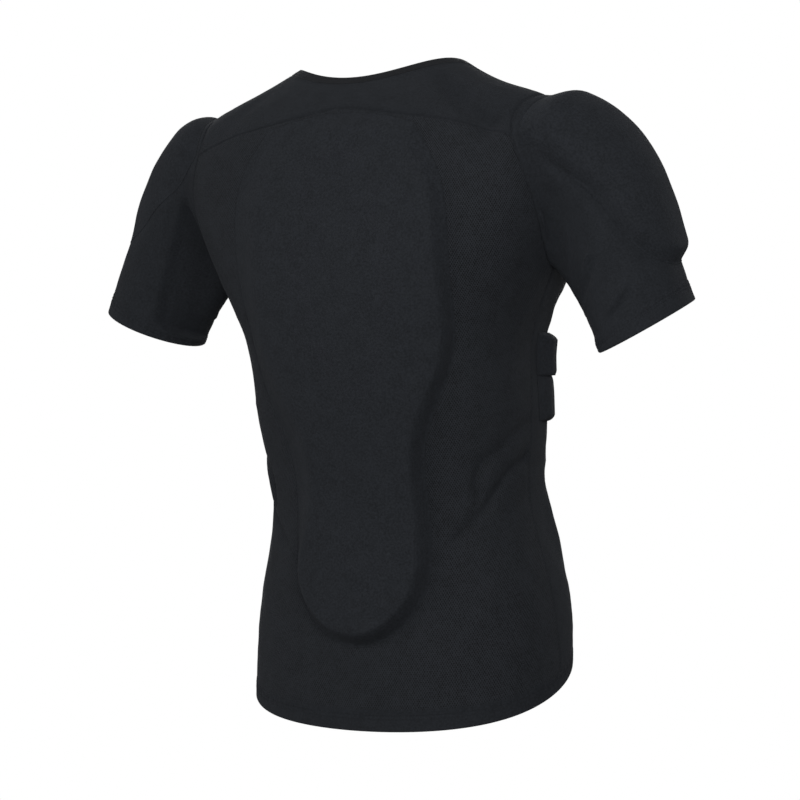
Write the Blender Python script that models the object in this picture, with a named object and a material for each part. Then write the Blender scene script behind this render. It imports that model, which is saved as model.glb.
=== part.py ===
"""Short-sleeved protective vest, in the hollow form it has when worn.

A tight stretch garment: a back and a front panel, a yoke over the shoulders, two short sleeves, turned
hems, a neck binding, and protector pads sewn on the back, the shoulders and the ribs.

Units are metres, +Z is up. The wearer faces -Y and the wearer's left side is +X. The origin lies between
the shoulders, level with the top of the shoulder line, where the wearer holds the garment up.

Every piece is a wall between two grids of points. The body is a loft through rings, and each sleeve is a
loft from its armhole to its cuff. Neighbouring pieces share the points of their seam, each half a seam gap
back from it, and a pad is made from the points of the panel that it is sewn on, moved out.
"""

import math

import bmesh
import bpy
import numpy as np

NAME = "protective_vest"

# Cloth and sewing sizes
CLOTH = 0.0018
HEM_CLOTH = 0.0030
HEM_PROUD = 0.0006
SEAM_GAP = 0.0003
PAD_GAP = 0.0005
MOST_MITRE = 1.5

# Rings of the body from the hem up to the neck. back_height is the ring's height at the back centre,
# side_rise and front_rise say how much higher it is at the sides and at the front centre, and left_rise how
# much its left side hangs above its right.
RING_COLUMNS = (
    "back_height", "side_rise", "front_rise", "left_rise",
    "half_width", "half_depth", "centre_depth", "squareness",
)
RINGS = {
    "hem": (-0.682, 0.017, 0.105, 0.013, 0.174, 0.118, -0.012, 0.02),
    "seat": (-0.600, 0.008, 0.055, 0.006, 0.172, 0.118, -0.017, 0.02),
    "hip": (-0.540, 0.004, 0.018, 0.001, 0.165, 0.114, -0.018, 0.02),
    "waist": (-0.450, 0.000, 0.000, 0.000, 0.148, 0.108, -0.013, 0.02),
    "rib": (-0.360, 0.000, 0.000, 0.000, 0.155, 0.112, -0.003, 0.03),
    "chest": (-0.290, 0.000, 0.000, 0.000, 0.159, 0.116, 0.005, 0.03),
    "armpit": (-0.228, 0.002, -0.008, 0.000, 0.183, 0.121, 0.007, 0.04),
    "blade": (-0.150, 0.030, -0.035, 0.000, 0.220, 0.115, 0.010, 0.05),
    "shoulder": (-0.092, 0.046, -0.053, 0.000, 0.205, 0.106, 0.012, 0.04),
    "collar": (-0.048, 0.034, -0.062, 0.000, 0.142, 0.090, 0.012, 0.02),
    "neck": (-0.017, 0.027, -0.068, 0.000, 0.097, 0.072, 0.005, 0.00),
}
HEM_HEIGHT = RINGS["hem"][0]
NECK_HEIGHT = RINGS["neck"][0]
HEM_BAND = 0.022
NECK_BAND = 0.007

# Armhole on the body's side: its top and foot, how far it reaches round to the back and the front, and how
# far its widest place lies above the middle
ARMHOLE_TOP = -0.080
ARMHOLE_FOOT = -0.219
ARMHOLE_BACK = math.radians(38)
ARMHOLE_FRONT = math.radians(34)
ARMHOLE_SKEW = 0.55

# Yoke seam: where on the armhole it ends, its height at the back and front centre, and its curve
YOKE_CORNER = math.radians(60)
YOKE_BACK = -0.050
YOKE_FRONT = -0.046
YOKE_CURVE = 1.6

# Sleeves: the middle of each cuff, how much lower its back edge hangs, and how full the sleeve's cap is.
# The foot of the right shoulder pad stands off its sleeve and hangs lower, and the left one lies flat.
SLEEVE_COLUMNS = (
    "mirror", "cuff_out", "cuff_back", "cuff_height", "cuff_back_drop", "cap_fullness",
    "pad_foot_reach", "pad_foot_thick",
)
SLEEVES = {
    "left": (1.0, 0.294, 0.012, -0.263, -0.002, 1.16, 0.24, 0.004),
    "right": (-1.0, 0.291, 0.008, -0.281, 0.012, 1.43, 0.34, 0.012),
}
ARM_WAY = (0.40, -0.04, -0.90)
CAP_WAY = (0.96, -0.20, -0.10)
UNDER_WAY = (0.90, 0.00, -0.40)
CUFF_HALF_ACROSS = 0.054
CUFF_HALF_DEPTH = 0.057
CUFF_BAND_SHARE = 0.10
SIDE_FULLNESS = 0.75
UNDER_FULLNESS = 0.45
CUFF_FULLNESS = 0.85

# Back pad: half its width and its thickness at each height of its sides, and how far its rounded foot hangs
# below its sides and its top rises above them
BACK_PAD_COLUMNS = ("height", "half_width", "thick")
BACK_PAD = (
    (-0.510, 0.080, 0.014),
    (-0.470, 0.079, 0.014),
    (-0.430, 0.077, 0.014),
    (-0.390, 0.082, 0.014),
    (-0.350, 0.099, 0.014),
    (-0.310, 0.115, 0.014),
    (-0.265, 0.122, 0.013),
    (-0.190, 0.125, 0.011),
    (-0.130, 0.117, 0.009),
    (-0.077, 0.086, 0.007),
)
BACK_PAD_FOOT = 0.088
BACK_PAD_TOP = 0.022

# Shoulder pads: half their turn round the sleeve at each place along it, and their thickness at their top
# and their middle
SHOULDER_PAD_COLUMNS = ("along", "half_turn")
SHOULDER_PAD = (
    (0.03, math.radians(57)),
    (0.15, math.radians(68)),
    (0.30, math.radians(66)),
    (0.46, math.radians(54)),
)
SHOULDER_PAD_PLACES = (0.0, 0.4, 1.0)
SHOULDER_PAD_THICK = (0.012, 0.013)

# Rib pads on the front panel: their heights, their ends round the body and their thickness
RIB_PAD_COLUMNS = ("foot", "top")
RIB_PADS = {"lower": (-0.373, -0.329), "upper": (-0.326, -0.282)}
RIB_PAD_START = math.radians(96)
RIB_PAD_END = math.radians(142)
RIB_PAD_THICK = 0.009

# A pad's edge: the share of its thickness at the rim, and how far in it reaches its full thickness
RIM_SHARE = 0.30
RIM_REACH = 0.016

# Grid lines of the panels, closer together at the pads' rims
BACK_PAD_ROWS_LOW = (-0.510, -0.505, -0.493, -0.455, -0.415, -0.375, -0.335, -0.298, -0.262)
BACK_PAD_ROWS_HIGH = (-0.190, -0.150, -0.115, -0.095, -0.083, -0.077)
BACK_PAD_CELLS = 14
BACK_SIDE_CELLS = 6
BACK_LOW_CELLS = 4
ARMHOLE_CELLS = len(BACK_PAD_ROWS_HIGH) + 1
SHOULDER_PAD_ROWS = (0.03, 0.045, 0.085, 0.14, 0.20, 0.27, 0.34, 0.40, 0.44, 0.46)
SHOULDER_CELLS = 12
SLEEVE_LOW_CELLS = 3
RIB_PAD_LINES = (0.0, 0.14, 0.5, 0.86, 1.0)
RIB_CELLS = 7
FRONT_LOW_CELLS = 6
FRONT_HIGH_CELLS = 2
FRONT_MIDDLE_CELLS = 3
FRONT_EDGE_CELL = math.radians(4)
YOKE_CELLS = 4

# Colour and roughness of the cloths
CLOTHS = {
    "knit": ((0.0150, 0.0160, 0.0190), 0.85),
    "mesh": ((0.0120, 0.0130, 0.0155), 0.80),
    "pad cover": ((0.0165, 0.0175, 0.0205), 0.88),
    "binding": ((0.0090, 0.0095, 0.0110), 0.75),
}


def smooth_curve(knots, values, at):
    """Natural cubic spline through values at knots, read at the places at."""
    knots = np.asarray(knots, float)
    values = np.asarray(values, float)
    at = np.asarray(at, float)
    gap = np.diff(knots)
    slope = np.diff(values) / gap
    system = np.eye(len(knots))
    right = np.zeros(len(knots))
    for i in range(1, len(knots) - 1):
        system[i, i - 1 : i + 2] = gap[i - 1], 2 * (gap[i - 1] + gap[i]), gap[i]
        right[i] = 6 * (slope[i] - slope[i - 1])
    bend = np.linalg.solve(system, right)
    i = np.clip(np.searchsorted(knots, at) - 1, 0, len(gap) - 1)
    after = at - knots[i]
    before = knots[i + 1] - at
    cubic = (bend[i] * before**3 + bend[i + 1] * after**3) / (6 * gap[i])
    first = (values[i] / gap[i] - bend[i] * gap[i] / 6) * before
    second = (values[i + 1] / gap[i] - bend[i + 1] * gap[i] / 6) * after
    return cubic + first + second


def unit(vectors):
    """Each vector at length 1."""
    vectors = np.asarray(vectors, float)
    return vectors / np.linalg.norm(vectors, axis=-1, keepdims=True)


def spread(first, last, cells):
    """Evenly spaced values from first to last, one more than the cells between them."""
    return np.linspace(first, last, cells + 1)


def share_along(values):
    """Where each value lies between the first (0) and the last (1)."""
    return (values - values[0]) / (values[-1] - values[0])


def ring_sizes(height):
    """The ring table's columns at these heights."""
    table = np.array(list(RINGS.values()))
    return {
        name: smooth_curve(table[:, 0], table[:, i], height)
        for i, name in enumerate(RING_COLUMNS)
    }


def body_point(angle, height):
    """A point of the body's outer side. angle is 0 at the back centre and a quarter turn at the left side."""
    angle, height = np.broadcast_arrays(angle, height)
    size = ring_sizes(height)
    square = size["squareness"]
    across = (np.sin(angle) + square * np.sin(3 * angle)) / (1 - square)
    deep = (np.cos(angle) - square * np.cos(3 * angle)) / (1 - square)
    rise = size["side_rise"] * np.sin(angle) ** 2
    rise = rise + size["front_rise"] * ((1 - np.cos(angle)) / 2) ** 2
    rise = rise + size["left_rise"] / 2 * np.sin(angle)
    return np.stack(
        (
            size["half_width"] * across,
            size["centre_depth"] + size["half_depth"] * deep,
            height + rise,
        ),
        axis=-1,
    )


def angle_at_width(width, height):
    """The angle at which the body's back is this far from the middle plane."""
    size = ring_sizes(height)
    square = size["squareness"]
    wanted = width * (1 - square) / size["half_width"]
    angle = np.arcsin(np.clip(wanted, -1, 1))
    for _ in range(8):
        angle = np.arcsin(np.clip(wanted - square * np.sin(3 * angle), -1, 1))
    return angle


def side_seam_angle(height):
    """The angle of the left side seam, which lies in a plane through the hem and the armhole's foot."""
    foot = body_point(math.pi / 2, ARMHOLE_FOOT)
    hem = body_point(math.pi / 2, HEM_HEIGHT)
    slope = (foot[1] - hem[1]) / (foot[2] - hem[2])
    angle = np.full_like(height, math.pi / 2)
    for _ in range(12):
        point = body_point(angle, height)
        behind = point[..., 1] - foot[1] - slope * (point[..., 2] - foot[2])
        angle = angle + behind / ring_sizes(height)["half_depth"]
    return angle


def surface_normal(surface, first, second, step=1e-4):
    """The outward normal of a surface of two parameters, from small steps along each."""
    along_first = surface(first + step, second) - surface(first - step, second)
    along_second = surface(first, second + step) - surface(first, second - step)
    return unit(np.cross(along_second, along_first))


def armhole(turn, scale=1.0):
    """Angle and height on the left side of the body.

    turn is 0 at the shoulder, grows towards the back and is a half turn at the armpit. A scale other than 1
    gives a larger or smaller ring around the same middle.
    """
    middle = (ARMHOLE_TOP + ARMHOLE_FOOT) / 2
    half = (ARMHOLE_TOP - ARMHOLE_FOOT) / 2
    reach = np.where(np.sin(turn) > 0, ARMHOLE_BACK, ARMHOLE_FRONT)
    angle = math.pi / 2 - scale * reach * np.sin(turn + ARMHOLE_SKEW * np.sin(turn))
    return angle, middle + scale * half * np.cos(turn)


def sleeve_surface(side):
    """The outer side of one sleeve, drawn on the left, as a function of turn and along.

    along is 0 at the armhole and 1 at the cuff's edge. Each line along the sleeve is a cubic. It leaves the
    armhole outwards at the shoulder and the armpit, and in the body's own surface at the back and front, and
    it reaches the cuff in the arm's direction.
    """
    size = dict(zip(SLEEVE_COLUMNS, SLEEVES[side]))
    way = unit(ARM_WAY)
    outward = unit(np.cross(np.cross(way, (1.0, 0.0, 0.0)), way))
    backward = unit(np.cross(outward, way))
    centre = np.array((size["cuff_out"], size["cuff_back"], size["cuff_height"]))

    def point(turn, along):
        turn, along = np.broadcast_arrays(turn, along)
        start = body_point(*armhole(turn))
        inward = unit(body_point(*armhole(turn, 0.98)) - start)
        cap = (np.maximum(0, np.cos(turn)) ** 2)[..., None]
        under = (np.maximum(0, -np.cos(turn)) ** 2)[..., None]
        beside = 1 - cap - under
        leave = unit(cap * unit(CAP_WAY) + beside * inward + under * unit(UNDER_WAY))
        fullness = cap * size["cap_fullness"] + beside * SIDE_FULLNESS + under * UNDER_FULLNESS
        cos_turn = np.cos(turn)[..., None]
        sin_turn = np.sin(turn)[..., None]
        cuff = centre + CUFF_HALF_ACROSS * cos_turn * outward + CUFF_HALF_DEPTH * sin_turn * backward
        cuff = cuff + size["cuff_back_drop"] * sin_turn * way
        span = np.linalg.norm(cuff - start, axis=-1, keepdims=True)
        t = along[..., None]
        return (
            (2 * t**3 - 3 * t**2 + 1) * start
            + (t**3 - 2 * t**2 + t) * span * fullness * leave
            + (3 * t**2 - 2 * t**3) * cuff
            + (t**3 - t**2) * span * CUFF_FULLNESS * way
        )

    return point


def on_side(points, side):
    """Points drawn on the left, brought to the side named."""
    return points * np.array((SLEEVES[side][0], 1.0, 1.0))


def armhole_edge(turn, side, way):
    """Outer and inner points of a cloth's edge at an armhole seam, for the body (way -1) or the sleeve (1).

    Both cloths end on the plane that halves the angle between them, half a seam gap to either side of it.
    """
    surface = sleeve_surface(side)
    near = 0.03
    point = body_point(*armhole(turn))
    body_side = surface_normal(body_point, *armhole(turn))
    sleeve_side = surface_normal(surface, turn, np.full_like(turn, near))
    mitre = unit(body_side + sleeve_side)
    stretch = np.minimum(1 / np.sum(mitre * body_side, axis=-1, keepdims=True), MOST_MITRE)
    edge = body_point(*armhole(turn + near)) - body_point(*armhole(turn - near))
    across = unit(np.cross(edge, mitre))
    ahead = surface(turn, np.full_like(turn, near)) - body_point(*armhole(turn, 1 + near))
    across = across * np.sign(np.sum(across * ahead, axis=-1, keepdims=True))
    outer = point + way * SEAM_GAP / 2 * across
    return on_side(outer, side), on_side(outer - CLOTH * stretch * mitre, side)


def mesh_object(name, points, faces, cloth):
    """A piece of the garment from points and faces, facing out, in its cloth."""
    mesh = bpy.data.meshes.new(name)
    mesh.from_pydata(points.tolist(), [], faces.tolist())
    work = bmesh.new()
    work.from_mesh(mesh)
    bmesh.ops.recalc_face_normals(work, faces=work.faces)
    work.to_mesh(mesh)
    work.free()
    mesh.shade_smooth()
    mesh.set_sharp_from_angle(angle=math.radians(40))
    mesh.materials.append(bpy.data.materials[cloth])
    piece = bpy.data.objects.new(name, mesh)
    bpy.data.collections[NAME].objects.link(piece)


def strip(first, second):
    """Triangles between two rows of point numbers."""
    low = np.stack((first[:-1], second[:-1], second[1:]), axis=-1)
    high = np.stack((first[:-1], second[1:], first[1:]), axis=-1)
    return np.concatenate((low, high))


def slab(name, outer, inner, cloth, is_ring=False):
    """A closed wall between two grids of points. The columns of a ring go all the way round."""
    rows, columns = outer.shape[:2]
    points = np.concatenate((outer.reshape(-1, 3), inner.reshape(-1, 3)))
    index = np.arange(rows * columns).reshape(rows, columns)
    if is_ring:
        index = np.concatenate((index, index[:, :1]), axis=1)
    under = index + rows * columns
    faces = [strip(under[0], index[0]), strip(index[-1], under[-1])]
    for row in range(rows - 1):
        faces.append(strip(index[row], index[row + 1]))
        faces.append(strip(under[row], under[row + 1])[:, ::-1])
    if not is_ring:
        faces += [strip(index[:, 0], under[:, 0]), strip(under[:, -1], index[:, -1])]
    mesh_object(name, points, np.concatenate(faces), cloth)


def distance_along(points):
    """How far each row of points is from the first row, measured along the columns."""
    steps = np.linalg.norm(np.diff(points, axis=0), axis=-1)
    return np.concatenate((np.zeros_like(steps[:1]), np.cumsum(steps, axis=0)))


def pad(name, base, normal, thick):
    """A pad on a panel's points: thin at its rim and full inside."""
    down = distance_along(base)
    across = distance_along(base.swapaxes(0, 1)).T
    from_rim = np.minimum(
        np.minimum(down, down[-1:] - down),
        np.minimum(across, across[:, -1:] - across),
    )
    reach = np.clip(from_rim / RIM_REACH, 0, 1)
    share = RIM_SHARE + (1 - RIM_SHARE) * np.sqrt(1 - (1 - reach) ** 2)
    low = base + PAD_GAP * normal
    slab(name, low + (thick * share)[..., None] * normal, low, "pad cover")


def yoke_seam_height(angle, turn, centre_angle, centre_height):
    """Height of the yoke seam between the centre and the armhole, for angles on the left side."""
    corner_angle, corner_height = armhole(turn)
    share = (angle - centre_angle) / (corner_angle - centre_angle)
    return centre_height + (corner_height - centre_height) * np.abs(share) ** YOKE_CURVE


def back_layout():
    """Angles and heights of the back panel's grid, with the pad's outline on its grid lines.

    Returns also the pad's rows and columns, and its thickness at each of those rows.
    """
    table = np.array(BACK_PAD)
    edge = np.array((*BACK_PAD_ROWS_LOW, ARMHOLE_FOOT, *BACK_PAD_ROWS_HIGH))
    place = share_along(edge)
    foot = BACK_PAD_FOOT * np.maximum(0, 1 - 2 * place) ** 2
    crown = BACK_PAD_TOP * np.maximum(0, 4 * place - 3) ** 2
    swing = spread(-math.pi / 2, math.pi / 2, BACK_PAD_CELLS)
    width = smooth_curve(table[:, 0], table[:, 1], edge)[:, None] * np.sin(swing)
    height = edge[:, None] - foot[:, None] * np.cos(swing) + crown[:, None] * np.cos(swing) ** 2
    angle = angle_at_width(width, height)
    seam = yoke_seam_height(np.abs(angle[-1]), YOKE_CORNER, 0.0, YOKE_BACK)
    start = HEM_HEIGHT + HEM_BAND
    share = spread(0, 1, BACK_LOW_CELLS)[:-1, None]
    height = np.concatenate((start + share * (height[0] - start), height, seam[None]))
    angle = np.concatenate((np.repeat(angle[:1], BACK_LOW_CELLS, axis=0), angle, angle[-1:]))

    turn = spread(math.pi, YOKE_CORNER, ARMHOLE_CELLS)
    hole_angle, hole_height = armhole(turn)
    side_low = spread(start, edge[0], BACK_LOW_CELLS)[:-1]
    side_height = np.concatenate((side_low, BACK_PAD_ROWS_LOW, hole_height))
    side_angle = np.concatenate((side_seam_angle(side_height[: -len(turn)]), hole_angle))
    share = spread(0, 1, BACK_SIDE_CELLS)[1:]
    left_angle = angle[:, -1:] + (side_angle[:, None] - angle[:, -1:]) * share
    left_height = height[:, -1:] + (side_height[:, None] - height[:, -1:]) * share
    left_height[-1] = yoke_seam_height(left_angle[-1], YOKE_CORNER, 0.0, YOKE_BACK)
    angle = np.concatenate((-left_angle[:, ::-1], angle, left_angle), axis=1)
    height = np.concatenate((left_height[:, ::-1], height, left_height), axis=1)
    pad_rows = slice(BACK_LOW_CELLS, BACK_LOW_CELLS + len(edge))
    pad_columns = slice(BACK_SIDE_CELLS, BACK_SIDE_CELLS + BACK_PAD_CELLS + 1)
    thick = smooth_curve(table[:, 0], table[:, 2], edge)[:, None]
    return angle, height, pad_rows, pad_columns, thick


def front_layout():
    """Angles and heights of the front panel's grid, with the rib pads' outlines on its grid lines.

    Returns also the rows of each rib pad and the columns of each side's pads.
    """
    levels = [spread(HEM_HEIGHT + HEM_BAND, RIB_PADS["lower"][0], FRONT_LOW_CELLS)[:-1]]
    for foot, top in RIB_PADS.values():
        levels.append(foot + (top - foot) * np.array(RIB_PAD_LINES))
    levels.append(spread(RIB_PADS["upper"][1], ARMHOLE_FOOT, FRONT_HIGH_CELLS)[1:-1])
    level = np.concatenate(levels)
    hole_angle, hole_height = armhole(spread(-math.pi, -YOKE_CORNER, ARMHOLE_CELLS))
    side_angle = np.concatenate((side_seam_angle(level), hole_angle))
    side_height = np.concatenate((level, hole_height))

    middle = (RIB_PAD_START + RIB_PAD_END) / 2
    half = (RIB_PAD_END - RIB_PAD_START) / 2
    inner = np.concatenate((
        middle + half * np.sin(spread(-math.pi / 2, math.pi / 2, RIB_CELLS)),
        spread(RIB_PAD_END, math.pi, FRONT_MIDDLE_CELLS)[1:],
    ))
    share = (inner - RIB_PAD_START) / (math.pi - RIB_PAD_START)
    start = np.maximum(RIB_PAD_START, side_angle + FRONT_EDGE_CELL)[:, None]
    angle = np.concatenate((side_angle[:, None], start + (math.pi - start) * share), axis=1)
    seam = yoke_seam_height(angle[-1], -YOKE_CORNER, math.pi, YOKE_FRONT)
    climb = np.clip((np.arange(len(side_height)) - len(level)) / ARMHOLE_CELLS, 0, 1)[:, None]
    height = side_height[:, None] + climb * (seam - side_height[-1])
    angle = np.concatenate((angle, 2 * math.pi - angle[:, -2::-1]), axis=1)
    height = np.concatenate((height, height[:, -2::-1]), axis=1)

    pad_rows = {}
    for i, name in enumerate(RIB_PADS):
        first = FRONT_LOW_CELLS + i * len(RIB_PAD_LINES)
        pad_rows[name] = slice(first, first + len(RIB_PAD_LINES))
    last = angle.shape[1] - 1
    pad_columns = {"left": slice(1, RIB_CELLS + 2), "right": slice(last - RIB_CELLS - 1, last)}
    return angle, height, pad_rows, pad_columns


def sleeve_layout(pad_foot_reach):
    """Turns and places along of a sleeve's grid, with the shoulder pad's outline on its grid lines.

    Returns also the pad's rows and columns.
    """
    table = np.array(SHOULDER_PAD)
    edge = np.array(SHOULDER_PAD_ROWS)
    place = share_along(edge)
    swing = spread(-math.pi / 2, math.pi / 2, SHOULDER_CELLS)
    half = smooth_curve(table[:, 0], table[:, 1], edge)[:, None]
    foot = pad_foot_reach * (place**2)[:, None] * np.cos(swing)
    end = 1 - CUFF_BAND_SHARE
    turn = np.concatenate((YOKE_CORNER * np.sin(swing)[None], half * np.sin(swing)))
    along = np.concatenate((np.zeros_like(swing)[None], edge[:, None] + foot))
    share = spread(0, 1, SLEEVE_LOW_CELLS)[1:, None]
    along = np.concatenate((along, along[-1] + share * (end - along[-1])))
    turn = np.concatenate((turn, np.repeat(turn[-1:], SLEEVE_LOW_CELLS, axis=0)))

    share = spread(0, 1, 2 * ARMHOLE_CELLS)[1:-1]
    under_turn = turn[:, -1:] + share * (2 * math.pi + turn[:, :1] - turn[:, -1:])
    under_along = spread(0, end, len(along) - 1)[:, None]
    under_along = along[:, -1:] + np.sin(math.pi * share) * (under_along - along[:, -1:])
    turn = np.concatenate((turn, under_turn), axis=1)
    along = np.concatenate((along, under_along), axis=1)
    return turn, along, slice(1, len(edge) + 1), slice(0, SHOULDER_CELLS + 1)


def make_cloths():
    for name, (colour, roughness) in CLOTHS.items():
        material = bpy.data.materials.new(name)
        material.use_nodes = True
        shader = material.node_tree.nodes["Principled BSDF"]
        shader.inputs["Base Color"].default_value = (*colour, 1.0)
        shader.inputs["Roughness"].default_value = roughness
        material.diffuse_color = (*colour, 1.0)


def sew_body_panel(plain, normal, turn, side_columns):
    """Outer and inner points of a body panel.

    Its side columns run up the side seam and then round an armhole, and all its edges are half a seam gap
    back from their seams.
    """
    outer = plain.copy()
    inner = plain - CLOTH * normal
    first = len(plain) - len(turn)
    for side, column, beside in side_columns:
        outer[first:, column], inner[first:, column] = armhole_edge(turn, side, -1)
        shift = SEAM_GAP / 2 * unit(plain[: first + 1, beside] - plain[: first + 1, column])
        outer[: first + 1, column] += shift
        inner[: first + 1, column] += shift
    for row, beside in ((0, 1), (-1, -2)):
        shift = SEAM_GAP / 2 * unit(plain[beside] - plain[row])
        outer[row] += shift
        inner[row] += shift
    return outer, inner


def make_back():
    """The back panel, and the protector pad sewn on it."""
    angle, height, rows, columns, thick = back_layout()
    plain = body_point(angle, height)
    normal = surface_normal(body_point, angle, height)
    turn = spread(math.pi, YOKE_CORNER, ARMHOLE_CELLS)
    outer, inner = sew_body_panel(plain, normal, turn, (("left", -1, -2), ("right", 0, 1)))
    slab("back_panel", outer, inner, "mesh")
    pad("back_pad", plain[rows, columns], normal[rows, columns], thick)


def make_front():
    """The front panel, and the four rib pads sewn on it."""
    angle, height, pad_rows, pad_columns = front_layout()
    plain = body_point(angle, height)
    normal = surface_normal(body_point, angle, height)
    turn = spread(-math.pi, -YOKE_CORNER, ARMHOLE_CELLS)
    outer, inner = sew_body_panel(plain, normal, turn, (("left", 0, 1), ("right", -1, -2)))
    slab("front_panel", outer, inner, "knit")
    for side, columns in pad_columns.items():
        for level, rows in pad_rows.items():
            pad(f"rib_pad_{level}_{side}", plain[rows, columns], normal[rows, columns], RIB_PAD_THICK)


def band(name, outer, normal, cloth, seam_row, beside):
    """A turned and sewn edge: a ring a little thicker and prouder than the cloth that it ends."""
    outer = outer.copy()
    outer[seam_row] += SEAM_GAP / 2 * unit(outer[beside] - outer[seam_row])
    proud = outer + HEM_PROUD * normal
    slab(name, proud, proud - HEM_CLOTH * normal, cloth, True)


def make_yoke():
    """The yoke, a ring from the panels and armholes up to the neck, and the binding at its neck edge."""
    back_angle, back_height = back_layout()[:2]
    front_angle, front_height = front_layout()[:2]
    turn = YOKE_CORNER * np.sin(spread(math.pi / 2, -math.pi / 2, SHOULDER_CELLS))
    hole_angle, hole_height = armhole(turn)
    edges = (
        (back_angle[-1], back_height[-1], True),
        (hole_angle[1:-1], hole_height[1:-1], False),
        (front_angle[-1], front_height[-1], True),
        (2 * math.pi - hole_angle[-2:0:-1], hole_height[-2:0:-1], False),
    )
    edge_angle = np.concatenate([edge[0] for edge in edges])
    edge_height = np.concatenate([edge[1] for edge in edges])
    on_panel = np.concatenate([np.full(len(edge[0]), edge[2]) for edge in edges])
    top = NECK_HEIGHT - NECK_BAND
    height = edge_height + spread(0, 1, YOKE_CELLS)[:, None] * (top - edge_height)
    angle = np.repeat(edge_angle[None], len(height), axis=0)
    plain = body_point(angle, height)
    normal = surface_normal(body_point, angle, height)
    outer = plain.copy()
    inner = plain - CLOTH * normal
    left = len(back_angle[-1]) - 1
    right = left + len(turn) + len(front_angle[-1]) - 2
    number = np.arange(len(edge_angle) + 1) % len(edge_angle)
    for side, first, turns in (("left", left, turn), ("right", right, turn[::-1])):
        columns = number[first : first + len(turn)]
        outer[0, columns], inner[0, columns] = armhole_edge(turns, side, -1)
    for row, beside, sewn in ((0, 1, on_panel), (-1, -2, np.full_like(on_panel, True))):
        shift = SEAM_GAP / 2 * unit(plain[beside, sewn] - plain[row, sewn])
        outer[row, sewn] += shift
        inner[row, sewn] += shift
    slab("yoke", outer, inner, "knit", True)

    angle, height = np.meshgrid(edge_angle, (top, NECK_HEIGHT))
    normal = surface_normal(body_point, angle, height)
    band("neck_binding", body_point(angle, height), normal, "binding", 0, 1)


def make_hem():
    edge_angle = np.concatenate((back_layout()[0][0], front_layout()[0][0, 1:-1]))
    angle, height = np.meshgrid(edge_angle, spread(HEM_HEIGHT, HEM_HEIGHT + HEM_BAND, 2))
    normal = surface_normal(body_point, angle, height)
    band("hem_band", body_point(angle, height), normal, "knit", -1, -2)


def make_sleeve(side):
    """One sleeve, its shoulder pad and its cuff band."""
    size = dict(zip(SLEEVE_COLUMNS, SLEEVES[side]))
    surface = sleeve_surface(side)
    turn, along, rows, columns = sleeve_layout(size["pad_foot_reach"])
    plain = on_side(surface(turn, along), side)
    normal = on_side(surface_normal(surface, turn, along), side)
    outer = plain.copy()
    inner = plain - CLOTH * normal
    outer[0], inner[0] = armhole_edge(turn[0], side, 1)
    shift = SEAM_GAP / 2 * unit(plain[-2] - plain[-1])
    outer[-1] += shift
    inner[-1] += shift
    slab(f"sleeve_{side}", outer, inner, "knit", True)
    place = share_along(np.array(SHOULDER_PAD_ROWS))
    thick = smooth_curve(SHOULDER_PAD_PLACES, (*SHOULDER_PAD_THICK, size["pad_foot_thick"]), place)[:, None]
    pad(f"shoulder_pad_{side}", plain[rows, columns], normal[rows, columns], thick)

    turn, along = np.meshgrid(turn[-1], (1 - CUFF_BAND_SHARE, 1.0))
    normal = on_side(surface_normal(surface, turn, along), side)
    band(f"cuff_band_{side}", on_side(surface(turn, along), side), normal, "knit", 0, 1)


def main():
    for old in list(bpy.data.objects):
        bpy.data.objects.remove(old, do_unlink=True)
    bpy.context.scene.collection.children.link(bpy.data.collections.new(NAME))
    make_cloths()
    make_back()
    make_front()
    make_yoke()
    make_hem()
    for side in SLEEVES:
        make_sleeve(side)


main()
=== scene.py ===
# %% [markdown]
# # A short-sleeved protective vest
# This lesson dresses the plain solids of a close-fitting protective vest. The real one is sewn from stretch
# knit, a fine mesh in the back, and soft foam pads under a knit cover. Each solid is replaced by a finer
# piece of cloth on the same form, so that nothing has to be fitted by eye.
#
# Units are metres and +Z is up. The wearer faces -Y, and the wearer's left is +X.

# %% Load the solids
import math

import bpy
import numpy as np
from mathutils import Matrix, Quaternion, Vector


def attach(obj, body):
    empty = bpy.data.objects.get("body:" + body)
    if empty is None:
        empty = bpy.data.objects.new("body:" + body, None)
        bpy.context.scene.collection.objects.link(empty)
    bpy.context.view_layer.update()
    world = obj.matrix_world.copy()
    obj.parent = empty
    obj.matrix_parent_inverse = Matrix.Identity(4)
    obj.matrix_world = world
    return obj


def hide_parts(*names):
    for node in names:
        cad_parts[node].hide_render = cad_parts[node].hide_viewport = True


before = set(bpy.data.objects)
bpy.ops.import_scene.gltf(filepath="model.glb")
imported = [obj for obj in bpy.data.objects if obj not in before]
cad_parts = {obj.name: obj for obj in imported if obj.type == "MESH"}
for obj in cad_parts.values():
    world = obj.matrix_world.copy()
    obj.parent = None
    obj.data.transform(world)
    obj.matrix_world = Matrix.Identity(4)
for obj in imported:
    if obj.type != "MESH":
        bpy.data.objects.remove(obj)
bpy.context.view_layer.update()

# %% [markdown]
# ## Camera
# A catalogue picture of a garment is taken from far away with a long lens, because a near camera makes the
# near shoulder too large. The camera stands level behind the right shoulder and leans by a degree and a half.

# %% Camera
CAMERA_AZIMUTH = math.radians(210)
CAMERA_DISTANCE = 3.5
CAMERA_LENS = 151.4
CAMERA_SENSOR = 36.0
CAMERA_LEAN = math.radians(-1.5)
AIM = Vector((0.0, 0.0, -0.348))


def put_in_scene(name, data):
    """An object that holds this data, linked to the scene."""
    made = bpy.data.objects.new(name, data)
    bpy.context.scene.collection.objects.link(made)
    return made


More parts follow.
